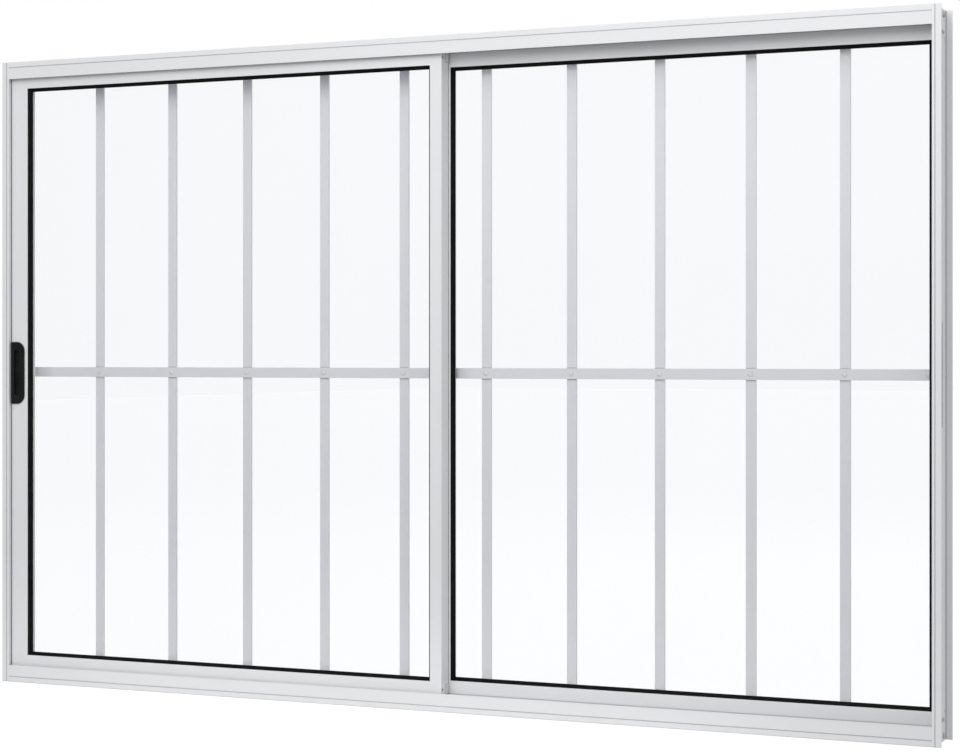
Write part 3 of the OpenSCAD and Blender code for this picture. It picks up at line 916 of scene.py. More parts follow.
class Workshop:
    """Dresses nodes and hands pieces over to the frame."""

    WELD = 1e-6
    FLAT_DEGREES = 0.5
    SHARP_DEGREES = 40.0

    def __init__(self, finishes: Finishes) -> None:
        """Keeps the finishes."""
        self.finishes = finishes

    def dress(self, nodes: Iterable[str], slot: Slot, edge_mm: float, segments: int = 2) -> None:
        """Gives nodes a finish and softened edges.

        Args:
            nodes: Their names.
            slot: The finish.
            edge_mm: The width that a sharp edge loses.
            segments: Steps across a softened edge.
        """
        for name in nodes:
            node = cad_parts[name]
            node.data.materials.clear()
            node.data.materials.append(self.finishes[slot])
            weld = node.modifiers.new("weld", "WELD")
            weld.merge_threshold = self.WELD
            flat = node.modifiers.new("flat", "DECIMATE")
            flat.decimate_type = "DISSOLVE"
            flat.angle_limit = math.radians(self.FLAT_DEGREES)
            soft = node.modifiers.new("soft_edges", "BEVEL")
            soft.width = edge_mm * MM
            soft.segments = segments
            soft.limit_method = "ANGLE"
            soft.angle_limit = math.radians(self.SHARP_DEGREES)
            soft.use_clamp_overlap = True
        LOG.info("dressed %s", ", ".join(nodes))

    def place(
        self, piece: bpy.types.Object, body: Body, slot: Slot, *nodes: str
    ) -> bpy.types.Object:
        """Makes a piece ride on a body in place of some nodes.

        Args:
            piece: The finished piece.
            body: What it moves with.
            slot: The record's slot of its finish; not used.
            nodes: The nodes that it stands for.

        Returns:
            The piece.
        """
        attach(piece, body.value)
        if nodes:
            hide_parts(*nodes)
        LOG.info("made %s: %d faces", piece.name, len(piece.data.polygons))
        return piece


# ---- Fasteners ----


@dataclass(frozen=True)
class Screw:
    """A cross-recessed pan-head screw, drawn up the Z axis from its head's outer face."""

    head_r: float
    head_l: float
    shank_r: float
    length: float

    def loops(self) -> list[Loop]:
        """Draws the screw.

        Returns:
            The recess, the domed head, the shank and its point.
        """
        arm, half = self.head_r * 0.62, self.head_r * 0.13
        middle = (arm + half) / 2
        quarter = [
            (arm, 0.0),
            (arm, half),
            (middle, half),
            (half, half),
            (half, middle),
            (half, arm),
        ]
        cross = []
        for k in range(4):
            c, s = round(math.cos(k * math.pi / 2)), round(math.sin(k * math.pi / 2))
            cross += [(x * c - y * s, x * s + y * c) for x, y in quarter]
        angles = [math.atan2(y, x) for x, y in cross]

        def circle(r: float, h: float) -> Loop:
            """A circle whose points lie in line with the recess's."""
            return [Vector((r * math.cos(a), r * math.sin(a), h)) for a in angles]

        def recess(size: float, h: float) -> Loop:
            """The recess's outline at a depth."""
            return [Vector((x * size, y * size, h)) for x, y in cross]

        head, rim = self.head_r, self.head_l
        return [
            recess(0.55, 0.55 * rim),
            recess(1.0, 0.06 * rim),
            circle(head * 0.72, 0.02 * rim),
            circle(head * 0.90, 0.18 * rim),
            circle(head, 0.48 * rim),
            circle(head, 0.94 * rim),
            circle(head * 0.97, rim),
            circle(self.shank_r, rim),
            circle(self.shank_r, self.length - 1.2 * self.shank_r),
            circle(self.shank_r * 0.45, self.length),
        ]


@dataclass(frozen=True)
class Rivet:
    """A low domed rivet, drawn up the Z axis from the top of its dome."""

    head_r: float
    dome: float
    shank_r: float
    length: float
    tail_r: float
    tail_l: float
    count: int = 20

    def loops(self) -> list[Loop]:
        """Draws the rivet.

        Returns:
            The dome, the shank and the formed tail.
        """
        head, dome, total = self.head_r, self.dome, self.length
        profile = [
            (head * math.sin(a), dome * (1 - math.cos(a)))
            for a in (math.radians(v) for v in (8, 30, 50, 68, 82))
        ]
        profile += [
            (head, dome),
            (self.shank_r, dome),
            (self.shank_r, total - self.tail_l),
            (self.tail_r, total - self.tail_l),
            (self.tail_r, total - 0.3 * self.tail_l),
            (self.tail_r * 0.8, total),
        ]
        return lathe(profile, self.count)


class FastenerRecipe(Recipe):
    """Sets one fastener on each point, turned to the point's aim and spun at random."""

    def __init__(self) -> None:
        """Builds the tree."""
        super().__init__(
            "fasteners",
            {
                "Part": "NodeSocketObject",
                "Finish": "NodeSocketMaterial",
                "Size": "NodeSocketFloat",
                "Seed": "NodeSocketInt",
            },
        )
        aim = self.node(
            "GeometryNodeInputNamedAttribute",
            {"data_type": "FLOAT_VECTOR"},
            {"Name": "aim"},
            "Attribute",
        )
        turn = self.node("FunctionNodeAlignRotationToVector", {"axis": "Z"}, {"Vector": aim})
        angle = self.node(
            "FunctionNodeRandomValue",
            {"data_type": "FLOAT"},
            {"Min": 0.0, "Max": math.tau, "Seed": self.given("Seed")},
            "Value",
        )
        spin = self.node(
            "FunctionNodeEulerToRotation",
            None,
            {"Euler": self.node("ShaderNodeCombineXYZ", None, {"Z": angle})},
        )
        turn = self.node(
            "FunctionNodeRotateRotation",
            {"rotation_space": "LOCAL"},
            {"Rotation": turn, "Rotate By": spin},
        )
        part = self.node("GeometryNodeObjectInfo", None, {"Object": self.given("Part")}, "Geometry")
        size = self.given("Size")
        sizes = self.node("ShaderNodeCombineXYZ", None, {"X": size, "Y": size, "Z": size})
        placed = self.node(
            "GeometryNodeInstanceOnPoints",
            None,
            {"Points": self.given("Geometry"), "Instance": part, "Rotation": turn, "Scale": sizes},
        )
        self.end(placed)


class Fasteners:
    """Screws and rivets, set where the nodes have theirs."""

    RIVET_SEED = 3

    def __init__(self, shop: Workshop) -> None:
        """Keeps the workshop and builds the recipe."""
        self.shop = shop
        self.recipe = FastenerRecipe()

    @staticmethod
    def _spots(
        members: Sequence[Extent], axis: Axis, centre: float
    ) -> list[tuple[Vector, Vector]]:
        """Where fasteners start and which way they point.

        Args:
            members: The box of each.
            axis: The axis that they follow. Those along y start at the front.
            centre: The others start on the side away from this place.

        Returns:
            The place of the head and the direction of each.
        """
        k = axis.value
        spots = []
        for e in members:
            forward = axis is Axis.Y or e.middle[k] < centre
            place = e.middle.copy()
            place[k] = e.low[k] if forward else e.high[k]
            aim = Vector((0.0, 0.0, 0.0))
            aim[k] = 1.0 if forward else -1.0
            spots.append((place, aim))
        return spots

    def _set(
        self,
        name: str,
        loops: list[Loop],
        spots: Sequence[tuple[Vector, Vector]],
        slot: Slot,
        seed: int,
    ) -> bpy.types.Object:
        """Sets one kind of fastener.

        Args:
            name: The new object's name.
            loops: The fastener's skin.
            spots: The place and direction of each.
            slot: Their finish.
            seed: For how each is spun.

        Returns:
            One object with all of them.
        """
        material = self.shop.finishes[slot]
        template = as_template(Shell().skin(loops).mesh("template", material, 40.0))
        points = bpy.data.meshes.new(name)
        points.from_pydata([tuple(place) for place, _ in spots], [], [])
        aims = points.attributes.new("aim", "FLOAT_VECTOR", "POINT")
        aims.data.foreach_set("vector", [v for _, aim in spots for v in aim])
        made = self.recipe.run(
            name, points, {"Part": template, "Finish": material, "Size": 1.0, "Seed": seed}
        )
        bpy.data.objects.remove(template)
        return made

    def screws(
        self,
        node: str,
        body: Body,
        slot: Slot,
        axis: Axis,
        head_mm: float,
        shank_mm: float,
        seed: int,
    ) -> None:
        """Builds the screws of a node, heads outwards.

        Args:
            node: The node that they stand for.
            body: What they move with.
            slot: Their finish.
            axis: The way that they point.
            head_mm: The height of a head.
            shank_mm: The radius of a shank.
            seed: For the turn of their recesses.
        """
        k = axis.value
        solids = Extent.solids(node)
        centre = sum((e.middle[k] for e in solids), 0.0) / len(solids)
        groups: dict[tuple[float, ...], list[Extent]] = {}
        for e in solids:
            groups.setdefault(tuple(round(v, 5) for v in e.size), []).append(e)
        made = []
        for size, members in groups.items():
            across = [v for n, v in enumerate(size) if n != k]
            screw = Screw(min(across) / 2, head_mm * MM, shank_mm * MM, size[k])
            spots = self._spots(members, axis, centre)
            made.append(self._set(f"{node}_set", screw.loops(), spots, slot, seed))
        self.shop.place(joined(f"{node}_detailed", made), body, slot, node)

    def rivets(
        self,
        node: str,
        body: Body,
        slot: Slot,
        shank_mm: float,
        tail_mm: tuple[float, float],
        dome_mm: float,
    ) -> None:
        """Builds the rivets of a node, those along y and those along x.

        Args:
            node: The node that they stand for.
            body: What they move with.
            slot: Their finish.
            shank_mm: The radius of a shank.
            tail_mm: The radius and height of a formed tail.
            dome_mm: The height of a head.
        """
        groups: dict[tuple[Axis, float, float], list[Extent]] = {}
        for e in Extent.solids(node):
            axis = Axis.Y if abs(e.size.x - e.size.z) < 1e-4 else Axis.X
            head = e.size.z / 2
            groups.setdefault((axis, round(head, 5), round(e.size[axis.value], 5)), []).append(e)
        made = []
        for (axis, head, length), members in groups.items():
            tail_r, tail_l = (v * MM for v in tail_mm)
            rivet = Rivet(head, dome_mm * MM, shank_mm * MM, length, tail_r, tail_l)
            spots = self._spots(members, axis, 0.0)
            made.append(self._set(f"{node}_set", rivet.loops(), spots, slot, self.RIVET_SEED))
        self.shop.place(joined(f"{node}_detailed", made), body, slot, node)


# ---- Brushes ----


class BrushRecipe(Recipe):
    """Plants tufts on the faces of a strip, each leaning and scaled at random."""

    def __init__(self) -> None:
        """Builds the tree."""
        super().__init__(
            "brush",
            {
                "Tuft": "NodeSocketObject",
                "Finish": "NodeSocketMaterial",
                "Per Square Metre": "NodeSocketFloat",
                "Lean": "NodeSocketFloat",
                "Seed": "NodeSocketInt",
            },
        )
        roots = self.tree.nodes.new("GeometryNodeDistributePointsOnFaces")
        roots.distribute_method = "RANDOM"
        for label, source in (
            ("Mesh", "Geometry"),
            ("Density", "Per Square Metre"),
            ("Seed", "Seed"),
        ):
            socket = self._socket(roots.inputs, label)
            self.tree.links.new(self.given(source).socket, socket)
        points = Wire(self, roots.outputs["Points"])
        upright = Wire(self, roots.outputs["Rotation"])
        lean = self.given("Lean")
        sway = self.node(
            "FunctionNodeRandomValue",
            {"data_type": "FLOAT_VECTOR"},
            {"Min": (-1.0, -1.0, -3.14), "Max": (1.0, 1.0, 3.14), "Seed": 5},
            "Value",
        )
        leans = self.node("ShaderNodeCombineXYZ", None, {"X": lean, "Y": lean, "Z": 1.0})
        sway = self.node(
            "ShaderNodeVectorMath", {"operation": "MULTIPLY"}, {0: sway, 1: leans}, "Vector"
        )
        turn = self.node(
            "FunctionNodeRotateRotation",
            {"rotation_space": "LOCAL"},
            {
                "Rotation": upright,
                "Rotate By": self.node("FunctionNodeEulerToRotation", None, {"Euler": sway}),
            },
        )
        length = self.node(
            "FunctionNodeRandomValue",
            {"data_type": "FLOAT"},
            {"Min": 0.82, "Max": 0.99, "Seed": 9},
            "Value",
        )
        tuft = self.node("GeometryNodeObjectInfo", None, {"Object": self.given("Tuft")}, "Geometry")
        planted = self.node(
            "GeometryNodeInstanceOnPoints",
            None,
            {"Points": points, "Instance": tuft, "Rotation": turn, "Scale": length},
        )
        self.end(planted)


@dataclass
class Brushes:
    """Draught brushes: a woven backing with tufts on it, so many to a square metre."""

    shop: Workshop
    tuft_r: float = 0.28 * MM
    lean: float = 0.12
    backing: float = 1.0 * MM
    thin_backing: float = 0.15 * MM
    band: float = 3.2 * MM
    dense: float = 1.25e6
    sparse: float = 6.0e5

    def build(self) -> None:
        """Builds the brushes of the head, the sill and the interlock."""
        recipe = BrushRecipe()
        for node, seed in (("head_pile", 11), ("sill_pile", 12)):
            e = Extent.of(node)
            root = e.low.y + self.backing
            half = self.band / 2
            strip = Extent(e.low, Vector((e.high.x, root, e.high.z)))
            corners = [
                (e.low.x, root, e.middle.z - half),
                (e.low.x, root, e.middle.z + half),
                (e.high.x, root, e.middle.z + half),
                (e.high.x, root, e.middle.z - half),
            ]
            self._brush(recipe, node, strip, corners, e.high.y - root, self.dense, seed)
        e = Extent.of("interlock_pile")
        root = e.high.y - self.thin_backing
        strip = Extent(Vector((e.low.x, root, e.low.z)), e.high)
        corners = [
            (e.low.x, root, e.low.z),
            (e.high.x, root, e.low.z),
            (e.high.x, root, e.high.z),
            (e.low.x, root, e.high.z),
        ]
        self._brush(recipe, "interlock_pile", strip, corners, root - e.low.y, self.sparse, 13)

    def _brush(
        self,
        recipe: BrushRecipe,
        node: str,
        backing: Extent,
        corners: Sequence[tuple[float, float, float]],
        height: float,
        density: float,
        seed: int,
    ) -> None:
        """One brush.

        Args:
            recipe: Plants the tufts.
            node: The node that it stands for.
            backing: The box of its backing.
            corners: The face that the tufts stand on, turned the way that they point.
            height: The length of a tuft.
            density: Tufts to a square metre.
            seed: For their places.
        """
        material = self.shop.finishes[Slot.PILE]
        sides = [
            [
                Vector((self.tuft_r * wide * math.cos(a), self.tuft_r * wide * math.sin(a), h))
                for a in (0.0, 2.1, 4.2)
            ]
            for wide, h in ((1.0, 0.0), (0.9, height * 0.6), (0.35, height))
        ]
        tuft = as_template(Shell().skin(sides).mesh("template", material, 60.0))
        face = bpy.data.meshes.new(node)
        face.from_pydata(list(corners), [], [(0, 1, 2, 3)])
        face.update()
        tufts = recipe.run(
            f"{node}_tufts",
            face,
            {
                "Tuft": tuft,
                "Finish": material,
                "Per Square Metre": density,
                "Lean": self.lean,
                "Seed": seed,
            },
        )
        bpy.data.objects.remove(tuft)
        strip = Shell().block(backing.low, backing.high, 0.05 * MM).piece(f"{node}_strip", material)
        made = joined(f"{node}_detailed", [tufts, strip])
        self.shop.place(made, Body.FRAME, Slot.PILE, node)


# ---- Sub-assemblies ----


@dataclass
class OuterFrame:
    """Head, sill and jambs with what is fixed in them."""

    shop: Workshop
    edge_mm: float = 0.35
    stop_r: tuple[float, float] = (6.0 * MM, 4.5 * MM)

    def build(self) -> None:
        """Dresses the extrusions and plates, and builds the rubber stops."""
        extrusions = ["head_track", "sill_track", "left_jamb", "right_jamb"]
        self.shop.dress(extrusions, Slot.WHITE, self.edge_mm)
        self.shop.dress(["corner_seal_pads"], Slot.RUBBER, 0.1)
        self.shop.dress(["wall_anchor_straps", "latch_keeper"], Slot.STEEL, 0.2)
        self.build_stops()

    def build_stops(self) -> None:
        """Turned rubber stops with a ribbed side and a dished face."""
        shell = Shell()
        for e in Extent.solids("bump_stops"):
            length = e.size.x
            wide, slim = self.stop_r
            profile = [
                (0.25 * slim, 0.22 * length),
                (0.7 * slim, 0.10 * length),
                (0.88 * slim, 0.0),
                (slim, 0.03 * length),
                (slim, 0.22 * length),
                (0.97 * wide, 0.27 * length),
            ]
            for k in range(4):
                start = (0.30 + 0.17 * k) * length
                profile += [
                    (wide, start),
                    (wide, start + 0.10 * length),
                    (0.94 * wide, start + 0.12 * length),
                    (0.94 * wide, start + 0.15 * length),
                ]
            profile += [(wide, 0.985 * length), (0.98 * wide, length)]
            place = Vector((e.low.x, e.middle.y, e.middle.z))
            shell.skin(turned(lathe(profile, 40), Axis.X, place))
        piece = shell.piece("rubber_stops", self.shop.finishes[Slot.RUBBER])
        self.shop.place(piece, Body.FRAME, Slot.RUBBER, "bump_stops")


@dataclass
class Grille:
    """The upright bars, the tie bar and what holds them."""

    shop: Workshop
    edge_mm: float = 0.4

    def build(self) -> None:
        """Dresses the bars and their brackets."""
        bars = sorted(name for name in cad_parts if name.startswith("vertical_bar_"))
        self.shop.dress([*bars, "tie_bar", "tie_bar_brackets"], Slot.GRILLE, self.edge_mm)


@dataclass
class Leaf:
    """One glazed leaf: its extrusions, pane, gaskets and blocks."""

    shop: Workshop
    prefix: str
    body: Body
    uprights: Sequence[str]
    edge_mm: float = 0.5
    wall: float = 1.6 * MM
    clear: float = 0.1 * MM
    bite: float = 5.0 * MM
    lip: float = 5.0 * MM
    back_lip: float = 2.8 * MM
    wedge_start: float = 1.7 * MM
    wedge_depth: float = 5.9 * MM

    def build(self) -> None:
        """Dresses the extrusions and builds the pane and the gaskets."""
        rails = [f"{self.prefix}_top_rail", f"{self.prefix}_bottom_rail"]
        self.shop.dress([*rails, *self.uprights], Slot.WHITE, self.edge_mm)
        self.shop.dress([f"{self.prefix}_setting_blocks"], Slot.RUBBER, 0.3)
        self.build_pane()
        self.build_gaskets()

    def build_pane(self) -> None:
        """A pane with ground edges."""
        e = Extent.of(f"{self.prefix}_glass")
        loops = [
            rounded(
                (e.low.x + cut, e.low.z + cut),
                (e.high.x - cut, e.high.z - cut),
                [1.2 * MM] * 4,
                y,
                arc=4,
                side=2,
            )
            for cut, y in (
                (0.5 * MM, e.low.y),
                (0.1 * MM, e.low.y + 0.35 * MM),
                (0.0, e.low.y + 0.8 * MM),
                (0.0, e.high.y - 0.8 * MM),
                (0.1 * MM, e.high.y - 0.35 * MM),
                (0.5 * MM, e.high.y),
            )
        ]
        glass = self.shop.finishes[Slot.GLASS]
        piece = Shell().skin(loops).piece(f"{self.prefix}_pane", glass, 20.0)
        self.shop.place(piece, self.body, Slot.GLASS, f"{self.prefix}_glass")

    def section(self, depth: float, lip: float) -> list[tuple[float, float]]:
        """A wedge gasket's section, as (inward, depth) from the leaf's face to the pane.

        Args:
            depth: From the leaf's face to where the gasket meets the pane.
            lip: How far it stands out over the pane.

        Returns:
            Points in turn round the section: heel, lips, rounded wedge and toe.
        """
        seat, toe = self.wall + self.clear, depth
        wedge = [
            (
                0.3 * MM + (lip - 0.45 * MM) * t,
                self.wedge_start + self.wedge_depth * (t + 0.08 * math.sin(math.tau * t)),
            )
            for t in (0.12, 0.26, 0.42, 0.58, 0.74, 0.88, 1.0)
        ]
        return [
            (-self.bite, toe),
            (-self.bite, seat),
            (-0.4 * MM, seat),
            (0.1 * MM, seat - 0.06 * MM),
            *wedge,
            (lip, toe - 0.6 * MM),
            (lip - 0.05 * MM, toe - 0.12 * MM),
            (lip - 0.3 * MM, toe),
        ]

    def build_gaskets(self) -> None:
        """Mitred rings: a black wedge on the room's side and a white seal on the outer side."""
        glass = Extent.of(f"{self.prefix}_glass")
        ring = Extent.of(f"{self.prefix}_gaskets")
        seat = self.wall + self.clear
        front, back = ring.low.y - seat, ring.high.y + seat
        depth = glass.low.y - self.clear - front
        corners = (
            (glass.low.x + self.bite, glass.low.z + self.bite, 1, 1),
            (glass.high.x - self.bite, glass.low.z + self.bite, -1, 1),
            (glass.high.x - self.bite, glass.high.z - self.bite, -1, -1),
            (glass.low.x + self.bite, glass.high.z - self.bite, 1, -1),
        )
        for label, slot, start, way, lip in (
            ("wedge_gasket", Slot.RUBBER, front, 1, self.lip),
            ("back_seal", Slot.NYLON, back, -1, self.back_lip),
        ):
            loops = [
                [
                    Vector((x + sx * inward, start + way * y, z + sz * inward))
                    for inward, y in self.section(depth, lip)
                ]
                for x, z, sx, sz in corners
            ]
            piece = Shell().skin(loops, ring=True).piece(
                f"{self.prefix}_{label}", self.shop.finishes[slot], 40.0
            )
            self.shop.place(piece, self.body, slot, f"{self.prefix}_gaskets")


@dataclass
class FixedLeaf(Leaf):
    """The right leaf, held by packers."""

    def build(self) -> None:
        """Adds the packers."""
        super().build()
        self.shop.dress(["fixed_leaf_packers"], Slot.NYLON, 0.4)


@dataclass
class SlidingLeaf(Leaf):
    """The left leaf, with its guides, caps and rollers."""

    groove_r: float = 6.2 * MM
    bore_r: float = 1.56 * MM

    def build(self) -> None:
        """Adds what lets the leaf slide."""
        super().build()
        self.shop.dress(["sash_top_guides", "sash_stile_caps", "roller_housings"], Slot.NYLON, 0.4)
        self.shop.dress(["roller_axles"], Slot.STEEL, 0.2)
        self.build_wheel("roller_wheel_left", Body.ROLLER_LEFT)
        self.build_wheel("roller_wheel_right", Body.ROLLER_RIGHT)

    def build_wheel(self, node: str, body: Body) -> None:
        """A grooved wheel with a hub and a thinned web.

        Args:
            node: The node that it stands for.
            body: What it moves with.
        """
        e = Extent.of(node)
        r, half = e.size.z / 2, e.size.y / 2
        hub, bore, web = self.bore_r + 1.0 * MM, self.bore_r, half - 0.7 * MM
        tread = [
            (r - (r - self.groove_r) * math.cos(math.pi / 2 * t), 1.5 * MM * t)
            for t in (-0.9, -0.6, -0.3, 0.0, 0.3, 0.6, 0.9)
        ]
        profile = [
            (bore, -half),
            (hub, -half),
            (hub + 0.2 * MM, -web),
            (self.groove_r - 0.9 * MM, -web),
            (self.groove_r - 0.6 * MM, -half),
            (r - 0.15 * MM, -half),
            (r, -half + 0.15 * MM),
            *tread,
            (r, half - 0.15 * MM),
            (r - 0.15 * MM, half),
            (self.groove_r - 0.6 * MM, half),
            (self.groove_r - 0.9 * MM, web),
            (hub + 0.2 * MM, web),
            (hub, half),
            (bore, half),
        ]
        loops = turned(lathe(profile, 56), Axis.Y, e.middle)
        nylon = self.shop.finishes[Slot.NYLON]
        piece = Shell().skin(loops, ring=True).piece(f"{node}_turned", nylon)
        self.shop.place(piece, body, Slot.NYLON, node)


class RibRecipe(Recipe):
    """Sets equal ribs in a row and joins them to the plate that they stand on."""

    def __init__(self) -> None:
        """Builds the tree."""
        super().__init__(
            "ribs",
            {
                "Rib": "NodeSocketObject",
                "Finish": "NodeSocketMaterial",
                "Count": "NodeSocketInt",
                "Start": "NodeSocketVector",
                "Step": "NodeSocketVector",
            },
        )
        row = self.node(
            "GeometryNodeMeshLine",
            {"mode": "OFFSET"},
            {
                "Count": self.given("Count"),
                "Start Location": self.given("Start"),
                "Offset": self.given("Step"),
            },
        )
        rib = self.node("GeometryNodeObjectInfo", None, {"Object": self.given("Rib")}, "Geometry")
        ribs = self.node("GeometryNodeInstanceOnPoints", None, {"Points": row, "Instance": rib})
        join = self.tree.nodes.new("GeometryNodeJoinGeometry")
        self.tree.links.new(self.given("Geometry").socket, join.inputs[0])
        self.tree.links.new(ribs.socket, join.inputs[0])
        self.end(Wire(self, join.outputs[0]))


@dataclass
class Latch:
    """The recessed latch: dished plate with its finger well, thumb slide and hook."""

    shop: Workshop
    rim: float = 1.7 * MM
    corner: float = 14.0 * MM
    well_r: float = 3.0 * MM
    shell: float = 1.2 * MM
    set_back: float = 2.4 * MM
    well_depth: float = 7.2 * MM
    well_end: float = 13.0 * MM
    well_clear: float = 0.4 * MM
    peg_in: float = 6.13 * MM
    peg_slot: tuple[float, float] = (1.7 * MM, 6.2 * MM)
    peg_r: float = 1.3 * MM
    slide_plate: float = 1.6 * MM
    ridge: float = 2.2 * MM
    rib_count: int = 5
    rib_step: float = 3.0 * MM

    def build(self) -> None:
        """Builds the plate and the slide, and dresses the hook and its pin."""
        self.build_plate()
        self.build_slide()
        self.shop.dress(["latch_hook", "latch_pivot_pin"], Slot.STEEL, 0.2)

    def build_plate(self) -> None:
        """A plate with a rounded rim, a dish that falls to the well, and the well's box behind."""
        e = Extent.of("latch_housing")
        slide = Extent.of("latch_slider")
        front, face = e.low.y, e.low.y + self.set_back
        floor = front + self.well_depth
        reach = e.size.z / 2 - self.well_end
        well_low = (slide.low.x - self.well_clear, e.middle.z - reach)
        well_high = (slide.high.x + self.well_clear, e.middle.z + reach)
        peg_x, peg = e.low.x + self.peg_in, self.peg_slot

        def outline(inset: float, y: float) -> Loop:
            """The plate's outline, straight on the jamb's side.

            Args:
                inset: How far it lies inside the plate's edge.
                y: Its depth.

            Returns:
                The outline.
            """
            left, right = max(1.2 * MM - inset, 0.2 * MM), self.corner - inset
            return rounded(
                (e.low.x + inset, e.low.z + inset),
                (e.high.x - inset, e.high.z - inset),
                [left, right, right, left],
                y,
            )

        def well(grow: float, y: float) -> Loop:
            """The well's outline.

            Args:
                grow: How far it lies outside the well's side.
                y: Its depth.

            Returns:
                The outline.
            """
            return rounded(
                (well_low[0] - grow, well_low[1] - grow),
                (well_high[0] + grow, well_high[1] + grow),
                [self.well_r + grow] * 4,
                y,
            )

        def slot(grow: float, y: float) -> Loop:
            """The outline of the slot that the slide's peg passes.

            Args:
                grow: How far it lies outside the slot's side.
                y: Its depth.

            Returns:
                The outline.
            """
            return rounded(
                (peg_x - peg[0] - grow, e.middle.z - peg[1] - grow),
                (peg_x + peg[0] + grow, e.middle.z + peg[1] + grow),
                [0.4 * MM + grow] * 4,
                y,
            )

        rim = self.rim
        loops = [
            outline(0.0, face),
            outline(0.0, front + 0.55 * MM),
            outline(0.15 * MM, front + 0.2 * MM),
            outline(0.5 * MM, front),
            outline(rim - 0.5 * MM, front),
            outline(rim - 0.1 * MM, front + 0.25 * MM),
            outline(rim, front + 0.6 * MM),
        ]
        outer, inner = outline(rim, front), well(0.0, front)
        for t, fall in ((0.25, 1.25), (0.5, 1.7), (0.75, 1.95), (0.93, 2.1)):
            y = front + fall * MM
            dish = [
                Vector((a.x + (b.x - a.x) * t, y, a.z + (b.z - a.z) * t))
                for a, b in zip(outer, inner)
            ]
            loops.append(dish)
        loops += [
            well(0.05 * MM, front + 2.35 * MM),
            well(0.0, front + 2.8 * MM),
            well(-0.1 * MM, floor - 0.6 * MM),
            well(-0.5 * MM, floor),
            slot(0.15 * MM, floor),
            slot(0.0, floor + 0.15 * MM),
            slot(0.0, floor + self.shell),
            well(self.shell - 0.6 * MM, floor + self.shell),
            well(self.shell, floor + self.shell - 0.6 * MM),
            well(self.shell, face),
        ]
        plastic = self.shop.finishes[Slot.LATCH]
        piece = Shell().skin(loops, ring=True).piece("latch_plate", plastic, 34.0)
        self.shop.place(piece, Body.SASH, Slot.LATCH, "latch_housing")

    def build_slide(self) -> None:
        """A thumb slide with a row of ribs, and the peg that drives the hook."""
        e = Extent.of("latch_slider")
        material = self.shop.finishes[Slot.LATCH]
        top, middle = e.low.y, e.middle.z
        face = top + self.ridge
        back = face + self.slide_plate
        base = Shell().block(
            Vector((e.low.x, face, e.low.z)), Vector((e.high.x, back, e.high.z)), 0.3 * MM
        )
        peg_x = Extent.of("latch_housing").low.x + self.peg_in
        peg_l = e.high.y - back
        peg = [
            (0.9 * self.peg_r, 0.0),
            (self.peg_r, 0.1 * MM),
            (self.peg_r, peg_l - 0.3 * MM),
            (0.7 * self.peg_r, peg_l),
        ]
        base.skin(turned(lathe(peg, 24), Axis.Y, Vector((peg_x, back, middle))))
        rib = Shell().block(
            Vector((e.low.x + 0.8 * MM, top, -0.6 * MM)),
            Vector((e.high.x - 0.8 * MM, face + 0.1 * MM, 0.6 * MM)),
            0.35 * MM,
        )
        template = as_template(rib.mesh("template", material))
        made = RibRecipe().run(
            "thumb_slide",
            base.mesh("thumb_slide_base", material),
            {
                "Rib": template,
                "Finish": material,
                "Count": self.rib_count,
                "Start": (0.0, 0.0, middle - (self.rib_count - 1) * self.rib_step / 2),
                "Step": (0.0, 0.0, self.rib_step),
            },
        )
        bpy.data.objects.remove(template)
        self.shop.place(made, Body.SLIDE, Slot.LATCH, "latch_slider")


# ---- Studio ----


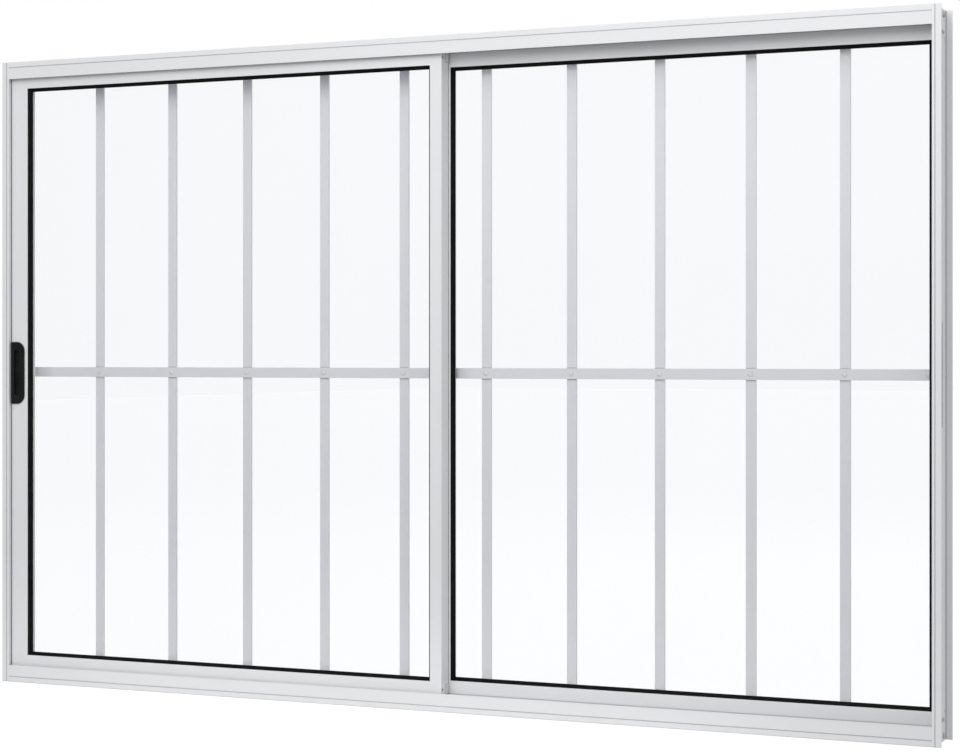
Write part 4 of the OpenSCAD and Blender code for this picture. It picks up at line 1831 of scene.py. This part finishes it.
@dataclass
class Studio:
    """White floor and surroundings, soft lights and the camera.

    Angles are in degrees, places and sizes in metres, and powers in watts.
    """

    lens: float = 84.5
    camera_at: Place = (1.4056, -3.002, 0.519)
    heading: float = 24.03
    shift: float = -0.0229
    aim_height: float = 0.5
    card_at: Place = (-0.10, -0.30, 0.05)
    card_aim: Place = (0.0, 1.0, -1.6)
    card_size: tuple[float, float] = (1.3, 0.06)
    card_power: float = 0.64
    floor_low: tuple[float, float] = (-14.0, -8.0)
    floor_high: tuple[float, float] = (14.0, 30.0)
    floor_glow: float = 0.86
    floor_gap: float = 0.0005
    surround: float = 0.555
    surround_rise: float = 0.105
    surround_right: float = 0.20

    def build(self) -> None:
        """Sets up everything that isn't the window."""
        self.build_floor()
        self.build_world()
        self.build_light("key", (-0.5, -3.2, 2.1), 2.8, 40.0)
        self.build_light("fill", (0.5, -1.5, 1.6), 1.2, 7.0)
        self.build_light("back_fill", (0.4, 2.6, 2.9), 3.0, 20.0)
        self.build_sill_card()
        self.build_camera()
        bpy.context.scene.view_settings.view_transform = "Standard"
        LOG.info("studio is ready")

    def build_floor(self) -> None:
        """A pale floor that the sill stands on."""
        s = Shader("pale_floor")
        material = s.finish(
            Base_Color=s.between(s.noise(30.0, 4.0), (0.18, 0.18, 0.18), (0.20, 0.20, 0.20)),
            Roughness=0.9,
            Emission_Color=(1.0, 1.0, 1.0, 1.0),
            Emission_Strength=self.floor_glow,
        )
        (left, near), (right, far) = self.floor_low, self.floor_high
        corners = [(left, near, 0.0), (right, near, 0.0), (right, far, 0.0), (left, far, 0.0)]
        mesh = bpy.data.meshes.new("floor")
        mesh.from_pydata(corners, [], [(0, 1, 2, 3)])
        mesh.materials.append(material)
        floor = bpy.data.objects.new("floor", mesh)
        floor.location.z = CAD_BOUNDS[0].z - self.floor_gap
        floor.visible_diffuse = False
        floor.visible_glossy = False
        bpy.context.scene.collection.objects.link(floor)

    def build_world(self) -> None:
        """White surroundings, which light the window most from above and from its right."""
        world = bpy.data.worlds.new("white_room")
        world.use_nodes = True
        world.node_tree.nodes.clear()
        s = Tree(world.node_tree)
        place = s.node("ShaderNodeTexCoord", out="Object")
        rightward = s.node("ShaderNodeSeparateXYZ", None, {"Vector": place}, "X")
        upward = s.node("ShaderNodeSeparateXYZ", None, {"Vector": place}, "Z")
        light = self.surround + self.surround_rise * upward + self.surround_right * rightward
        seen = s.node("ShaderNodeLightPath", out="Is Camera Ray")
        shade = s.node("ShaderNodeBackground", None, {"Strength": light + seen * (1.0 - light)})
        exit_node = world.node_tree.nodes.new("ShaderNodeOutputWorld")
        world.node_tree.links.new(shade.socket, exit_node.inputs["Surface"])
        shade.socket.node.inputs["Color"].default_value = (1.0, 1.0, 1.0, 1.0)
        bpy.context.scene.world = world

    def build_light(self, name: str, place: Place, size: float, power: float) -> None:
        """A square soft light aimed at the window's middle.

        Args:
            name: Its name.
            place: Where it stands.
            size: Its side.
            power: Its strength in watts.
        """
        lamp = bpy.data.lights.new(name, "AREA")
        lamp.shape = "SQUARE"
        lamp.size = size
        lamp.energy = power
        light = bpy.data.objects.new(name, lamp)
        light.location = place
        aim = Vector((0.0, 0.0, self.aim_height)) - Vector(place)
        light.rotation_euler = aim.to_track_quat("-Z", "Y").to_euler()
        bpy.context.scene.collection.objects.link(light)

    def build_sill_card(self) -> None:
        """A low strip of light that lifts the sill and the bottom rails only."""
        lamp = bpy.data.lights.new("sill_card", "AREA")
        lamp.shape = "RECTANGLE"
        lamp.size, lamp.size_y = self.card_size
        lamp.energy = self.card_power
        light = bpy.data.objects.new("sill_card", lamp)
        light.location = self.card_at
        light.rotation_euler = Vector(self.card_aim).to_track_quat("-Z", "Y").to_euler()
        light.visible_camera = False
        light.visible_glossy = False
        bpy.context.scene.collection.objects.link(light)

    def build_camera(self) -> None:
        """A level camera to the right of the window."""
        data = bpy.data.cameras.new("camera")
        data.lens = self.lens
        data.sensor_width = 36.0
        data.shift_y = self.shift
        data.clip_start, data.clip_end = 0.05, 100.0
        camera = bpy.data.objects.new("camera", data)
        camera.location = self.camera_at
        camera.rotation_euler = (math.pi / 2, 0.0, math.radians(self.heading))
        bpy.context.scene.collection.objects.link(camera)
        bpy.context.scene.camera = camera


def main() -> None:
    """Builds the window and the studio."""
    logging.basicConfig(level=logging.INFO, format="%(name)s: %(message)s")
    shop = Workshop(Finishes())
    OuterFrame(shop).build()
    Grille(shop).build()
    FixedLeaf(shop, "fixed", Body.FRAME, ["fixed_meeting_stile", "fixed_side_channel"]).build()
    SlidingLeaf(shop, "sash", Body.SASH, ["sash_latch_stile", "sash_meeting_stile"]).build()
    Latch(shop).build()
    Brushes(shop).build()
    fasteners = Fasteners(shop)
    for node, body, slot, axis, head_mm, shank_mm, seed in (
        ("frame_corner_screws", Body.FRAME, Slot.STEEL, Axis.X, 2.4, 2.05, 1),
        ("fixed_leaf_screws", Body.FRAME, Slot.STEEL, Axis.X, 2.0, 1.7, 2),
        ("sash_corner_screws", Body.SASH, Slot.STEEL, Axis.X, 2.0, 1.7, 3),
        ("latch_screws", Body.SASH, Slot.LATCH, Axis.Y, 0.9, 1.6, 4),
    ):
        fasteners.screws(node, body, slot, axis, head_mm, shank_mm, seed)
    for node, shank_mm, tail_mm, dome_mm in (
        ("bar_rivets", 2.0, (3.0, 0.9), 1.1),
        ("bar_end_rivets", 1.6, (2.24, 1.4), 1.0),
    ):
        fasteners.rivets(node, Body.FRAME, Slot.GRILLE, shank_mm, tail_mm, dome_mm)
    shop.dress(["strap_rivets", "keeper_screws"], Slot.STEEL, 0.15)
    Studio().build()


if __name__ == "__main__":
    main()
